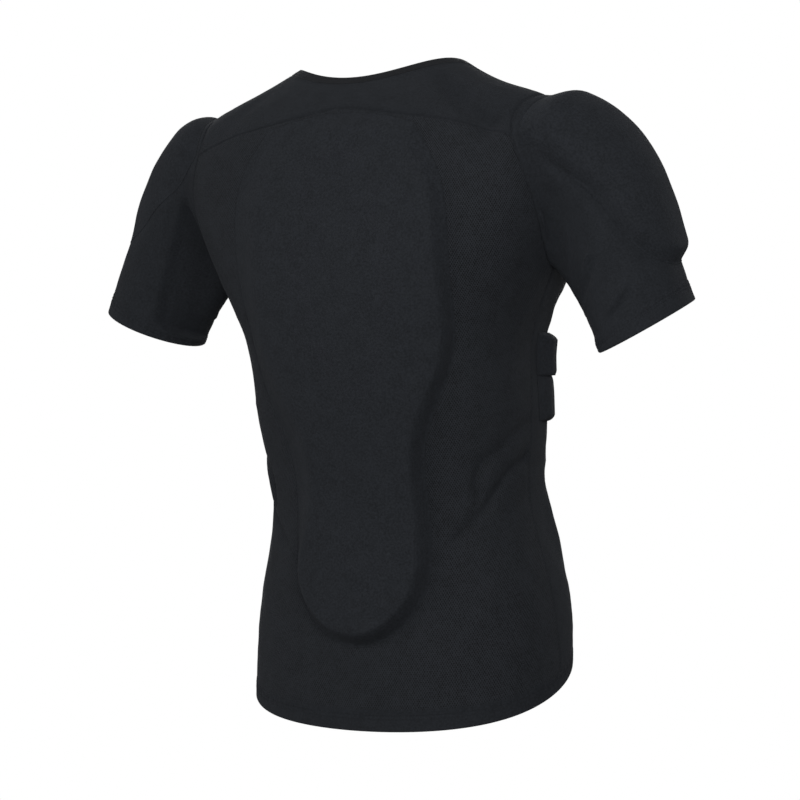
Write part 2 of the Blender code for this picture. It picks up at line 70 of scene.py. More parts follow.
towards_camera = Vector((math.sin(CAMERA_AZIMUTH), -math.cos(CAMERA_AZIMUTH), 0.0))
camera_left = Vector((-math.cos(CAMERA_AZIMUTH), -math.sin(CAMERA_AZIMUTH), 0.0))
camera = put_in_scene("camera", bpy.data.cameras.new("camera"))
camera.data.lens = CAMERA_LENS
camera.data.sensor_width = CAMERA_SENSOR
camera.location = AIM + CAMERA_DISTANCE * towards_camera
camera.rotation_mode = "QUATERNION"
camera.rotation_quaternion = (-towards_camera).to_track_quat("-Z", "Y") @ Quaternion((0, 0, 1), CAMERA_LEAN)
bpy.context.scene.camera = camera
print("camera at", [round(x, 3) for x in camera.location])

# %% [markdown]
# ## Stage and light
# Black cloth needs even light: a strong lamp from one side would make the form look like metal. A large soft
# box stands by the camera, weaker ones at the left and above model the back, a narrow one draws the right
# edge, and a last one lights the front from behind. Two weak lamps in the hollow keep the inner walls from
# going black where they show through the neck and the hem.

# %% Lights
# Each row: leftwards, nearer and higher than the aim, width and height of the box, watts.
LIGHTS = {
    "beside the camera": (0.05, 1.9, 0.55, 1.6, 1.6, 24.5),
    "left": (2.8, 0.6, 0.6, 1.6, 2.4, 15.0),
    "above": (0.2, 0.6, 2.6, 2.4, 2.4, 3.0),
    "right edge": (-2.0, -1.5, 1.1, 0.5, 1.4, 5.0),
    "behind": (0.0, -3.2, 0.8, 2.4, 2.4, 40.0),
}
INSIDE_HEIGHTS = (-0.15, -0.45)
INSIDE_WATTS = 0.12
INSIDE_SIZE = 0.05


def add_light(name, leftwards, nearer, higher, width, height, watts):
    """A soft box placed from the aim in the camera's own directions, and turned towards the aim."""
    data = bpy.data.lights.new(name, "AREA")
    data.shape = "RECTANGLE"
    data.size, data.size_y, data.energy = width, height, watts
    light = put_in_scene(name, data)
    offset = leftwards * camera_left + nearer * towards_camera + Vector((0, 0, higher))
    light.location = AIM + offset
    light.rotation_euler = (-offset).to_track_quat("-Z", "Y").to_euler()


for light_name, light_row in LIGHTS.items():
    add_light(light_name, *light_row)
for lamp_height in INSIDE_HEIGHTS:
    glow = bpy.data.lights.new("inside", "POINT")
    glow.energy, glow.shadow_soft_size = INSIDE_WATTS, INSIDE_SIZE
    lamp = put_in_scene("inside", glow)
    lamp.location = (0.0, 0.0, lamp_height)
    lamp.visible_camera = False
print("soft boxes:", len(LIGHTS), "lamps inside:", len(INSIDE_HEIGHTS))

# %% [markdown]
# A pale world fills the shadows, and what the camera sees of it is plain white. The floor lies as far below
# as a standing wearer's feet would be. It glows a little, so that it stays pale in weak light, and the cloth
# doesn't see it, so that no light comes up from it.

# %% World and floor
WORLD_LIGHT = 0.17
WHITE = (1.0, 1.0, 1.0, 1.0)
FLOOR_HEIGHT = -1.45
FLOOR_RADIUS = 3.2
FLOOR_SIDES = 96
FLOOR_COLOUR = (0.80, 0.80, 0.79, 1.0)
FLOOR_ROUGHNESS = 0.7
FLOOR_GLOW = 0.6


def fill(tree, node, sockets):
    """Sets a node's inputs by name, each to a number, a colour or another node's output."""
    for name, value in sockets.items():
        if isinstance(value, bpy.types.NodeSocket):
            tree.links.new(value, node.inputs[name])
        else:
            node.inputs[name].default_value = value


def put(tree, kind, sockets=None, **settings):
    """A new node with its settings and inputs."""
    node = tree.nodes.new(kind)
    for name, value in settings.items():
        setattr(node, name, value)
    fill(tree, node, sockets or {})
    return node


def start_material(name):
    """A new material with its node tree and its shader."""
    material = bpy.data.materials.new(name)
    material.use_nodes = True
    return material, material.node_tree, material.node_tree.nodes["Principled BSDF"]


def full_turn(count, start=0.0):
    """Angles once round from a start, without the last, which would be the first again."""
    return start + np.linspace(0, 2 * math.pi, count, endpoint=False)


world = bpy.data.worlds.new("studio")
world.use_nodes = True
bpy.context.scene.world = world
world_tree = world.node_tree
seen = put(world_tree, "ShaderNodeLightPath").outputs["Is Camera Ray"]
level = put(world_tree, "ShaderNodeMapRange", {"Value": seen, "To Min": WORLD_LIGHT, "To Max": 1.0})
fill(world_tree, world_tree.nodes["Background"], {"Color": WHITE, "Strength": level.outputs["Result"]})
bpy.context.scene.view_settings.view_transform = "Standard"

floor_turn = full_turn(FLOOR_SIDES)[::-1]
floor_rim = FLOOR_RADIUS * np.stack((np.sin(floor_turn), np.cos(floor_turn), np.zeros(FLOOR_SIDES)), axis=-1)
floor_mesh = bpy.data.meshes.new("floor")
floor_mesh.from_pydata((floor_rim + (0, 0, FLOOR_HEIGHT)).tolist(), [], [list(range(FLOOR_SIDES))])
floor_paint, floor_tree, floor_shader = start_material("pale floor")
fill(floor_tree, floor_shader, {
    "Base Color": FLOOR_COLOUR, "Roughness": FLOOR_ROUGHNESS,
    "Emission Color": FLOOR_COLOUR, "Emission Strength": FLOOR_GLOW,
})
floor_mesh.materials.append(floor_paint)
floor = put_in_scene("floor", floor_mesh)
floor.visible_diffuse = floor.visible_glossy = False
print("floor at", FLOOR_HEIGHT)

# %% [markdown]
# ## The form under the cloth
# A tight garment takes the form of the wearer's trunk, so every piece of the body lies on one smooth surface.
# Rings through a table of heights give its width, depth and slope, and a natural spline runs through each
# column. A place on it is an angle round the body, 0 at the back centre and a quarter turn at the left side,
# and a height.

# %% Curves
def unit(vectors):
    """Each vector divided by its length."""
    vectors = np.asarray(vectors, float)
    return vectors / np.linalg.norm(vectors, axis=-1, keepdims=True)


def ease(value, low, high):
    """0 below low, 1 above high, and 3x² - 2x³ between them."""
    x = np.clip((value - low) / (high - low), 0, 1)
    return x * x * (3 - 2 * x)


def bell(x, width):
    """A soft bump of height 1: exp(-(x / width)²)."""
    return np.exp(-((x / width) ** 2))


def smooth_curve(knots, values, at):
    """Natural cubic spline: cubics between the knots that share slope and bend, with no bend at the ends."""
    knots, values, at = (np.asarray(x, float) for x in (knots, values, at))
    gap = np.diff(knots)
    slope = np.diff(values) / gap
    system = np.eye(len(knots))
    right = np.zeros(len(knots))
    for i in range(1, len(knots) - 1):
        system[i, i - 1 : i + 2] = gap[i - 1], 2 * (gap[i - 1] + gap[i]), gap[i]
        right[i] = 6 * (slope[i] - slope[i - 1])
    bend = np.linalg.solve(system, right)
    i = np.clip(np.searchsorted(knots, at) - 1, 0, len(gap) - 1)
    after = at - knots[i]
    before = knots[i + 1] - at
    cubic = (bend[i] * before**3 + bend[i + 1] * after**3) / (6 * gap[i])
    first = (values[i] / gap[i] - bend[i] * gap[i] / 6) * before
    second = (values[i + 1] / gap[i] - bend[i + 1] * gap[i] / 6) * after
    return cubic + first + second


def edge_dense(first, last, cells, ends=0.88):
    """Values from first to last in steps that shrink at both ends: x - ends·sin(2πx)/2π."""
    x = np.linspace(0, 1, cells + 1)
    return first + (last - first) * (x - ends * np.sin(2 * math.pi * x) / (2 * math.pi))


def half_swing(cells):
    """Angles over half a turn, whose sines run from -1 to 1 and crowd at both ends."""
    return np.linspace(-math.pi / 2, math.pi / 2, cells + 1)


print("ease:", ease(np.linspace(0, 1, 5), 0, 1).round(3).tolist())
print("steps that shrink at both ends:", edge_dense(0, 1, 6).round(3).tolist())

# %% Form of the body
RING_COLUMNS = (
    "back_height", "side_rise", "front_rise", "left_rise",
    "half_width", "half_depth", "centre_depth", "squareness",
)
RINGS = {
    "hem": (-0.682, 0.017, 0.105, 0.013, 0.174, 0.118, -0.012, 0.02),
    "seat": (-0.600, 0.008, 0.055, 0.006, 0.172, 0.118, -0.017, 0.02),
    "hip": (-0.540, 0.004, 0.018, 0.001, 0.165, 0.114, -0.018, 0.02),
    "waist": (-0.450, 0.000, 0.000, 0.000, 0.148, 0.108, -0.013, 0.02),
    "rib": (-0.360, 0.000, 0.000, 0.000, 0.155, 0.112, -0.003, 0.03),
    "chest": (-0.290, 0.000, 0.000, 0.000, 0.159, 0.116, 0.005, 0.03),
    "armpit": (-0.228, 0.002, -0.008, 0.000, 0.183, 0.121, 0.007, 0.04),
    "blade": (-0.150, 0.030, -0.035, 0.000, 0.220, 0.115, 0.010, 0.05),
    "shoulder": (-0.092, 0.046, -0.053, 0.000, 0.205, 0.106, 0.012, 0.04),
    "collar": (-0.048, 0.034, -0.062, 0.000, 0.142, 0.090, 0.012, 0.02),
    "neck": (-0.017, 0.027, -0.068, 0.000, 0.097, 0.072, 0.005, 0.00),
}
HEM_HEIGHT = RINGS["hem"][0]
NECK_HEIGHT = RINGS["neck"][0]


def ring_sizes(height):
    """The ring table's columns at these heights."""
    table = np.array(list(RINGS.values()))
    return {name: smooth_curve(table[:, 0], table[:, i], height) for i, name in enumerate(RING_COLUMNS)}


def body_form(angle, height):
    """A ring's point: an ellipse squared a little by its third harmonic, tilted by its rises."""
    angle, height = np.broadcast_arrays(angle, height)
    size = ring_sizes(height)
    square = size["squareness"]
    across = (np.sin(angle) + square * np.sin(3 * angle)) / (1 - square)
    deep = (np.cos(angle) - square * np.cos(3 * angle)) / (1 - square)
    rise = size["side_rise"] * np.sin(angle) ** 2
    rise = rise + size["front_rise"] * ((1 - np.cos(angle)) / 2) ** 2
    rise = rise + size["left_rise"] / 2 * np.sin(angle)
    x = size["half_width"] * across
    y = size["centre_depth"] + size["half_depth"] * deep
    return np.stack((x, y, height + rise), axis=-1)


def outward(surface, first, second, step=1e-4):
    """Unit normal of a surface of two parameters: the cross product of small steps along each."""
    along_first = surface(first + step, second) - surface(first - step, second)
    along_second = surface(first, second + step) - surface(first, second - step)
    return unit(np.cross(along_second, along_first))


def lifted(points, normal, height):
    """Points moved out along their normals: point + height·normal."""
    return points + height[..., None] * normal


def path_length(points):
    """Length of a line through points."""
    return float(np.linalg.norm(np.diff(points, axis=0), axis=-1).sum())


once_round = np.linspace(0, 2 * math.pi, 200)
print("hem round:", round(path_length(body_form(once_round, HEM_HEIGHT)), 3))

# %% [markdown]
# ## Armholes and sleeves
# The armhole is a ring drawn on the body's side. Each line along a sleeve is a cubic curve that leaves the
# armhole in a given direction and arrives at the cuff along the arm. Full lines over the shoulder and short
# ones under the arm give the cap its roundness with no simulation.

# %% Form of the sleeves
ARMHOLE_TOP = -0.080
ARMHOLE_FOOT = -0.219
ARMHOLE_MIDDLE = (ARMHOLE_TOP + ARMHOLE_FOOT) / 2
ARMHOLE_HALF = (ARMHOLE_TOP - ARMHOLE_FOOT) / 2
ARMHOLE_BACK = math.radians(38)
ARMHOLE_FRONT = math.radians(34)
ARMHOLE_SKEW = 0.55
SLEEVE_COLUMNS = (
    "mirror", "cuff_out", "cuff_back", "cuff_height", "cuff_back_drop", "cap_fullness", "pad_foot_reach",
)
SLEEVES = {
    "left": dict(zip(SLEEVE_COLUMNS, (1.0, 0.294, 0.012, -0.263, -0.002, 1.16, 0.24))),
    "right": dict(zip(SLEEVE_COLUMNS, (-1.0, 0.291, 0.008, -0.281, 0.012, 1.43, 0.37))),
}
ARM_WAY = (0.40, -0.04, -0.90)
CAP_WAY = (0.96, -0.20, -0.10)
UNDER_WAY = (0.90, 0.00, -0.40)
CUFF_HALF_ACROSS = 0.054
CUFF_HALF_DEPTH = 0.057
CUFF_BAND_SHARE = 0.10
SIDE_FULLNESS = 0.75
UNDER_FULLNESS = 0.45
CUFF_FULLNESS = 0.85


def armhole(turn, scale=1.0):
    """Angle and height of the left armhole: 0 turn at the shoulder, half a turn at the armpit, back first."""
    reach = np.where(np.sin(turn) > 0, ARMHOLE_BACK, ARMHOLE_FRONT)
    angle = math.pi / 2 - scale * reach * np.sin(turn + ARMHOLE_SKEW * np.sin(turn))
    return angle, ARMHOLE_MIDDLE + scale * ARMHOLE_HALF * np.cos(turn)


def sleeve_form(side):
    """The sleeve as a function of turn and along: Hermite cubics from the armhole to the cuff's ellipse."""
    size = SLEEVES[side]
    way = unit(ARM_WAY)
    outer = unit(np.cross(np.cross(way, (1.0, 0.0, 0.0)), way))
    backward = unit(np.cross(outer, way))
    centre = np.array((size["cuff_out"], size["cuff_back"], size["cuff_height"]))

    def point(turn, along):
        """A point of the sleeve at a turn round the arm and a share of its length."""
        turn, along = np.broadcast_arrays(turn, along)
        start = body_form(*armhole(turn))
        inward = unit(body_form(*armhole(turn, 0.98)) - start)
        cos_turn, sin_turn = np.cos(turn)[..., None], np.sin(turn)[..., None]
        cap = np.maximum(0, cos_turn) ** 2
        under = np.maximum(0, -cos_turn) ** 2
        beside = 1 - cap - under
        leave = unit(cap * unit(CAP_WAY) + beside * inward + under * unit(UNDER_WAY))
        fullness = cap * size["cap_fullness"] + beside * SIDE_FULLNESS + under * UNDER_FULLNESS
        cuff = centre + CUFF_HALF_ACROSS * cos_turn * outer + CUFF_HALF_DEPTH * sin_turn * backward
        cuff = cuff + size["cuff_back_drop"] * sin_turn * way
        span = np.linalg.norm(cuff - start, axis=-1, keepdims=True)
        t = along[..., None]
        return (
            (2 * t**3 - 3 * t**2 + 1) * start
            + (t**3 - 2 * t**2 + t) * span * fullness * leave
            + (3 * t**2 - 2 * t**3) * cuff
            + (t**3 - t**2) * span * CUFF_FULLNESS * way
        )

    return point


def on_side(points, side):
    """Points drawn on the left, brought to the side named."""
    return points * np.array((SLEEVES[side]["mirror"], 1.0, 1.0))


print("armhole round:", round(path_length(body_form(*armhole(once_round))), 3))

# %% [markdown]
# ## Outline of the back pad
# The back pad is a long shield: wide over the shoulder blades, narrow at the waist and round at its foot. The
# cloth is drawn down along its edge, so its outline is needed before the creases are.

# %% Outline of the back pad
# Each row: height, half width, thickness, and width of the shoulder that rises from the edge.
BACK_PAD = np.array((
    (-0.510, 0.080, 0.0140, 0.013),
    (-0.470, 0.079, 0.0140, 0.013),
    (-0.430, 0.077, 0.0140, 0.013),
    (-0.390, 0.082, 0.0140, 0.013),
    (-0.350, 0.099, 0.0140, 0.014),
    (-0.310, 0.115, 0.0138, 0.014),
    (-0.265, 0.122, 0.0130, 0.014),
    (-0.190, 0.125, 0.0105, 0.014),
    (-0.130, 0.117, 0.0078, 0.015),
    (-0.077, 0.086, 0.0045, 0.022),
))
BACK_PAD_FOOT = 0.088
BACK_PAD_TOP = 0.022
LEFT_SOFTER = 1.9
LEFT_SOFTER_ACROSS = (0.0, 0.6)
LEFT_SOFTER_UP = (0.02, 0.25)
BACK_OUTLINE = (40, 24)


def angle_at_width(width, height):
    """The angle at which the body's back is this far from the middle plane, by repeated arcsines."""
    size = ring_sizes(height)
    square = size["squareness"]
    wanted = width * (1 - square) / size["half_width"]
    angle = np.arcsin(np.clip(wanted, -1, 1))
    for _ in range(8):
        angle = np.arcsin(np.clip(wanted - square * np.sin(3 * angle), -1, 1))
    return angle


def back_pad_grid(rows, cells):
    """Angle, height, thickness and shoulder: rows bowed down at the foot and up at the top by a cosine."""
    edge = edge_dense(BACK_PAD[0, 0], BACK_PAD[-1, 0], rows)
    share = ((edge - edge[0]) / (edge[-1] - edge[0]))[:, None]
    swing = half_swing(cells)
    half, thick, shoulder = (smooth_curve(BACK_PAD[:, 0], BACK_PAD[:, i], edge)[:, None] for i in (1, 2, 3))
    height = edge[:, None] - BACK_PAD_FOOT * np.maximum(0, 1 - 2 * share) ** 2 * np.cos(swing)
    height = height + BACK_PAD_TOP * np.maximum(0, 4 * share - 3) ** 2 * np.cos(swing) ** 2
    softer = LEFT_SOFTER * ease(np.sin(swing), *LEFT_SOFTER_ACROSS) * ease(share, *LEFT_SOFTER_UP)
    return angle_at_width(half * np.sin(swing), height), height, thick, shoulder * (1 + softer)


def half_outline(*grids):
    """Places along the foot from the middle, up the last column and along the top back to the middle."""
    middle = grids[0].shape[1] // 2
    return np.stack([
        np.concatenate((grid[0, middle:], grid[1:, -1], grid[-1, -2 : middle - 1 : -1])) for grid in grids
    ], axis=-1)


print("back pad:", round(float(np.ptp(back_pad_grid(*BACK_OUTLINE)[1])), 3), "m long")

# %% [markdown]
# ## Creases
# Cloth that is stretched over a form still shows creases where it bends: at the armpits, over the elbow side
# of a sleeve and at the waist. A simulation would put them anywhere, so each is given as a line on
# the surface. Its section is a soft ridge with a shallow trough beside it, and it fades at both ends.

# %% Creases
# The trough beside a ridge: how far away and how wide it is, in widths of the ridge.
TROUGH_AWAY, TROUGH_WIDTH = 1.7, 1.3


def line_points(path, count=24):
    """A smooth line through a short table of places, sampled evenly between them."""
    path = np.asarray(path, float)
    knots = np.arange(len(path))
    at = np.linspace(0, len(path) - 1, count)
    return np.stack((smooth_curve(knots, path[:, 0], at), smooth_curve(knots, path[:, 1], at)), axis=-1)


def along_line(place, line):
    """Signed distance of each place from a line, and the share of the line at the nearest spot."""
    near = np.full(place.shape[:-1], np.inf)
    side = np.zeros_like(near)
    share = np.zeros_like(near)
    for i, (start, stop) in enumerate(zip(line[:-1], line[1:])):
        way = stop - start
        from_start = place - start
        t = np.clip((from_start @ way) / (way @ way), 0, 1)
        distance = np.linalg.norm(from_start - t[..., None] * way, axis=-1)
        closer = distance < near
        near = np.where(closer, distance, near)
        side = np.where(closer, np.sign(way[0] * from_start[..., 1] - way[1] * from_start[..., 0]), side)
        share = np.where(closer, (i + t) / (len(line) - 1), share)
    return near * side, share


def fade(share, start, end):
    """0 at both ends of a line, and 1 past its first part, start, and before its last part, end."""
    return ease(share, 0, start) * (1 - ease(share, 1 - end, 1))


def crease(place, path, width, depth, trough=0.5, ends=0.4):
    """A ridge depth·exp(-(x/w)²) less a trough beside it, times a fade over the ends of its line."""
    x, share = along_line(place, line_points(path))
    section = bell(x, width) - trough * bell(x - TROUGH_AWAY * width, TROUGH_WIDTH * width)
    return depth * section * fade(share, ends, ends)


def unevenness(place, size, depth):
    """A slow wave in both directions with no even beat: products and sums of sines of unlike lengths."""
    x, y = place[..., 0] / size, place[..., 1] / size
    wave = np.sin(2.1 * x + 0.7) * np.sin(1.7 * y + 1.9) + 0.6 * np.sin(3.7 * x - 2.3 * y + 0.4)
    return depth * (wave + 0.4 * np.sin(5.3 * x + 4.1 * y + 2.2)) / 2


sample = np.stack((np.linspace(-2, 4, 7), np.zeros(7)), axis=-1)
print("crease:", crease(sample, ((0, 1), (0, 0), (0, -1)), 1.0, 1.0).round(2).tolist())

# %% [markdown]
# The trunk's own creases are one function of angle and height, so that they run on across the seams. Beside
# each side of the neck lies a soft valley towards the shoulder, and along the back pad the cloth is drawn
# down. On each flank a tongue of thicker cloth comes round from the front, with a seam along its lower edge.
# Small wrinkles lie at the waist and armpits. The tables give their lines in degrees and heights.

# %% Tables of the body's creases
NECK_VALLEY = ((52, -0.026), (48, -0.053), (45, -0.075), (46, -0.095), (49, -0.113))
NECK_VALLEY_WIDTH = 0.014
NECK_VALLEY_DEPTH = {"left": -0.0020, "right": -0.0120}
NECK_VALLEY_FADE = (0.35, 0.25)
PAD_VALLEY_WIDTH = 0.0055
PAD_VALLEY_DEPTH = {"left": -0.00075, "right": -0.0025}
PAD_VALLEY_TOP = (-0.20, -0.09)
PAD_VALLEY_TOP_LOSS = 0.4
TONGUE_TOP = (
    (96, -0.360), (77, -0.382), (67, -0.396), (59, -0.409), (53, -0.420), (52, -0.436), (52, -0.458),
)
TONGUE_FOOT = ((52, -0.466), (55, -0.462), (63, -0.442), (72, -0.422), (82, -0.411), (96, -0.398))
TONGUE_RISE = 0.0020
TONGUE_EDGE = 0.014
TONGUE_FADE = (math.radians(70), math.radians(86))
FLANK_SEAM = (
    (86, -0.407), (82, -0.411), (72, -0.422), (63, -0.442), (55, -0.462), (46, -0.478), (34, -0.502),
)
FLANK_LINES = ((TONGUE_TOP, -0.0032), (FLANK_SEAM, -0.0042))
FLANK_LINE_WIDTH = 0.0050
FLANK_LINE_FADE = (0.12, 0.06)
# Each row: the line, the ridge's width and its height.
WRINKLES = (
    (((36, -0.333), (50, -0.343), (66, -0.351)), 0.0042, 0.0009),
    (((38, -0.353), (47, -0.358), (55, -0.359)), 0.0034, 0.0006),
    (((34, -0.372), (46, -0.377), (60, -0.374)), 0.0040, 0.0009),
    (((36, -0.393), (42, -0.396), (49, -0.393)), 0.0032, 0.0006),
    (((33, -0.420), (42, -0.424), (50, -0.421)), 0.0042, 0.0008),
    (((72, -0.196), (66, -0.214), (58, -0.240)), 0.0060, 0.0010),
    (((79, -0.226), (70, -0.246), (58, -0.272)), 0.0070, 0.0012),
    (((86, -0.246), (80, -0.272), (72, -0.302)), 0.0080, 0.0010),
    (((112, -0.212), (122, -0.236), (134, -0.250)), 0.0070, 0.0012),
    (((100, -0.244), (112, -0.266), (128, -0.276)), 0.0080, 0.0010),
    (((104, -0.404), (122, -0.416), (142, -0.414)), 0.0060, 0.0008),
    (((106, -0.446), (126, -0.455), (148, -0.450)), 0.0060, 0.0008),
    (((124, -0.530), (136, -0.552), (150, -0.562)), 0.0080, 0.0009),
    (((100, -0.425), (108, -0.462), (113, -0.500), (114, -0.550)), 0.0200, 0.0050),
    (((60, -0.540), (48, -0.566), (36, -0.600)), 0.0100, 0.0008),
)
print("wrinkles on each side:", len(WRINKLES), "deepest line:", min(depth for _, depth in FLANK_LINES))

# %% [markdown]
# The lines are laid out flat, as on a paper pattern, because distances are easier to take there. The relief
# is the sum of all the lines, and it dies away at the armholes, the hem and the neck, where pieces meet.

# %% Creases of the body
BODY_GIRTH = 0.14
BODY_WAVES = (0.016, 0.0003)
STILL_AT_ARMHOLE = (0.06, 0.30)
STILL_ABOVE_HEM = (0.02, 0.06)
STILL_AT_NECK = (-0.040, -0.026)


def body_place(angle, height):
    """Angle and height as a flat place in metres, the same on both sides of the body."""
    turned = np.abs(np.arctan2(np.sin(angle), np.cos(angle)))
    return np.stack((turned * BODY_GIRTH, np.broadcast_to(height, turned.shape)), axis=-1)


def on_body(table):
    """A table of degrees and heights as flat places."""
    return [(math.radians(degrees) * BODY_GIRTH, height) for degrees, height in table]


def on_its_side(angle, values):
    """The left or the right one of two values, by the side of the body."""
    return np.where(np.sin(angle) > 0, values["left"], values["right"])


def inside_depth(place, outline):
    """Distance from a closed outline, positive inside: the nearest edge, signed by counting crossings."""
    corner = np.asarray(outline, float)
    near, _ = along_line(place, np.concatenate((corner, corner[:1])))
    is_inside = np.zeros(place.shape[:-1], bool)
    for (x0, y0), (x1, y1) in zip(corner, np.roll(corner, -1, axis=0)):
        spans = (y0 > place[..., 1]) != (y1 > place[..., 1])
        crossing = x0 + (place[..., 1] - y0) * (x1 - x0) / np.where(y1 == y0, 1e-9, y1 - y0)
        is_inside ^= spans & (place[..., 0] < crossing)
    return np.where(is_inside, np.abs(near), -np.abs(near))


def body_relief(angle, height):
    """How far the cloth lies off the plain form: the sum of its creases, still where pieces meet."""
    place = body_place(angle, height)
    turned = place[..., 0] / BODY_GIRTH
    away, share = along_line(place, line_points(on_body(NECK_VALLEY)))
    relief = on_its_side(angle, NECK_VALLEY_DEPTH) * bell(away, NECK_VALLEY_WIDTH)
    relief = relief * fade(share, *NECK_VALLEY_FADE)
    away, _ = along_line(place, half_outline(*back_pad_grid(*BACK_OUTLINE)[:2]) * (BODY_GIRTH, 1.0))
    drawn = on_its_side(angle, PAD_VALLEY_DEPTH) * (1 - PAD_VALLEY_TOP_LOSS * ease(height, *PAD_VALLEY_TOP))
    relief = relief + drawn * bell(away, PAD_VALLEY_WIDTH)
    tongue = inside_depth(place, on_body(TONGUE_TOP) + on_body(TONGUE_FOOT))
    relief = relief + TONGUE_RISE * ease(tongue, 0, TONGUE_EDGE) * (1 - ease(turned, *TONGUE_FADE))
    for path, depth in FLANK_LINES:
        away, share = along_line(place, line_points(on_body(path)))
        relief = relief + depth * bell(away, FLANK_LINE_WIDTH) * fade(share, *FLANK_LINE_FADE)
    for path, width, depth in WRINKLES:
        relief = relief + crease(place, on_body(path), width, depth)
    relief = relief + unevenness(place, *BODY_WAVES)
    from_hole = np.hypot((turned - math.pi / 2) / ARMHOLE_BACK, (height - ARMHOLE_MIDDLE) / ARMHOLE_HALF) - 1
    at_ends = ease(height - HEM_HEIGHT, *STILL_ABOVE_HEM) * (1 - ease(height, *STILL_AT_NECK))
    return relief * ease(from_hole, *STILL_AT_ARMHOLE) * at_ends


def body_cloth(angle, height):
    """The body's form moved out by its creases."""
    return lifted(body_form(angle, height), outward(body_form, angle, height), body_relief(angle, height))


sample = body_relief(*np.meshgrid(once_round, np.linspace(HEM_HEIGHT, NECK_HEIGHT, 60)))
print("body relief:", np.round((sample.min(), sample.max()), 4).tolist())

# %% [markdown]
# ## A wall of cloth
# Every piece is a closed wall between two grids of points, with the edges filled in. The same table of cells
# gives the faces and the flat coordinates of the cloth, in metres, which the weave later follows.

# %% Flat map and faces
def distance_along(points):
    """How far each row of points is from the first row, measured along the columns."""
    steps = np.linalg.norm(np.diff(points, axis=0), axis=-1)
    return np.concatenate((np.zeros_like(steps[:1]), np.cumsum(steps, axis=0)))


def distance_across(points):
    """How far each column of points is from the first column, measured along the rows."""
    return distance_along(points.swapaxes(0, 1)).T


def flat_places(points, is_ring):
    """Flat coordinates: distance along the row from its middle, and along the column from its start."""
    if is_ring:
        points = np.concatenate((points, points[:, :1]), axis=1)
    across = distance_across(points)
    return np.stack((across - across[:, [across.shape[1] // 2]], distance_along(points)), axis=-1)


def wall_cells(rows, columns, is_ring):
    """Layer, row and column of each face's four corners: outer side, inner side and the edges."""
    ring, line = np.arange(columns - (not is_ring)), np.arange(rows - 1)
    row, column = (x.ravel() for x in np.meshgrid(line, ring, indexing="ij"))
    last, end = rows - 1, columns - 1
    parts = [
        ((0, row, column), (0, row + 1, column), (0, row + 1, column + 1), (0, row, column + 1)),
        ((1, row, column), (1, row, column + 1), (1, row + 1, column + 1), (1, row + 1, column)),
        ((0, 0, ring), (0, 0, ring + 1), (1, 0, ring + 1), (1, 0, ring)),
        ((0, last, ring + 1), (0, last, ring), (1, last, ring), (1, last, ring + 1)),
    ]
    if not is_ring:
        parts.append(((0, line + 1, 0), (0, line, 0), (1, line, 0), (1, line + 1, 0)))
        parts.append(((0, line, end), (0, line + 1, end), (1, line + 1, end), (1, line, end)))
    corners = [[np.stack(np.broadcast_arrays(*corner), axis=-1) for corner in part] for part in parts]
    return np.concatenate([np.stack(part, axis=1) for part in corners])


print("faces of a closed tube of 10 rows and 20 columns:", len(wall_cells(10, 20, True)))

# %% [markdown]
# The pads push the cloth up a little where the sleeves begin, so every piece passes through the same soft
# hill there before it becomes a mesh. Sewing draws the outer side of the cloth down beside each seam.

# %% Pieces
CLOTH = 0.0018
CLOTH_MAP = "cloth"
SHARP_EDGE = math.radians(60)
SHOULDER_LIFT = {"left": 0.0060, "right": 0.0035}
SHOULDER_LIFT_WIDTH = 0.030
SEAM_DIP = 0.0010
SEAM_DIP_WIDTH = 0.0022
LOW_SEAM_SHARE = 0.2


def raise_shoulders(points):
    """Points lifted by a soft hill, height·exp(-(distance / width)²), round the top of each armhole."""
    top = body_form(*armhole(0.0))
    lift = np.zeros(len(points))
    for side, height in SHOULDER_LIFT.items():
        lift = lift + height * bell(np.linalg.norm(points - on_side(top, side), axis=-1), SHOULDER_LIFT_WIDTH)
    return lifted(points, np.array((0.0, 0.0, 1.0)), lift)


def add_piece(name, points, faces, flat, finish):
    """A mesh object at the origin, turned so that its volume is positive, with its flat map and finish."""
    points = raise_shoulders(points)
    corner = points[faces]
    volume = np.einsum("ij,ij->", corner[:, 0], np.cross(corner[:, 1], corner[:, 2]))
    volume += np.einsum("ij,ij->", corner[:, 0], np.cross(corner[:, 2], corner[:, 3]))
    if volume < 0:
        faces, flat = faces[:, ::-1], flat[:, ::-1]
    mesh = bpy.data.meshes.new(name)
    mesh.from_pydata(points.tolist(), [], faces.tolist())
    layer = mesh.uv_layers.new(name=CLOTH_MAP)
    layer.data.foreach_set("uv", np.ascontiguousarray(flat, np.float32).ravel())
    mesh.shade_smooth()
    mesh.set_sharp_from_angle(angle=SHARP_EDGE)
    material, slot = finish
    mesh.materials.append(material)
    piece = put_in_scene(name, mesh)
    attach(piece, "root")
    print(f"{name}: {2 * len(faces)} triangles")
    return piece


def cloth_wall(name, node, outer, inner, finish, is_ring=False):
    """A closed wall of cloth between an outer and an inner grid of points, in place of a solid."""
    rows, columns = outer.shape[:2]
    cells = wall_cells(rows, columns, is_ring)
    faces = (cells[..., 0] * rows + cells[..., 1]) * columns + cells[..., 2] % columns
    flat = flat_places(outer, is_ring)[cells[..., 1], cells[..., 2]]
    piece = add_piece(name, np.concatenate((outer.reshape(-1, 3), inner.reshape(-1, 3))), faces, flat, finish)
    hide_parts(node)
    return piece


def seam_dip(distance, share=1.0):
    """Cloth drawn down by its sewing: -share·dip·exp(-(distance / width)²)."""
    return -share * SEAM_DIP * bell(distance, SEAM_DIP_WIDTH)


def cloth_sides(form, normal, relief, dip):
    """Outer and inner points of a cloth: the form moved out by its creases, the outer side dipped too."""
    return lifted(form, normal, relief + dip), lifted(form, normal, relief - CLOTH)


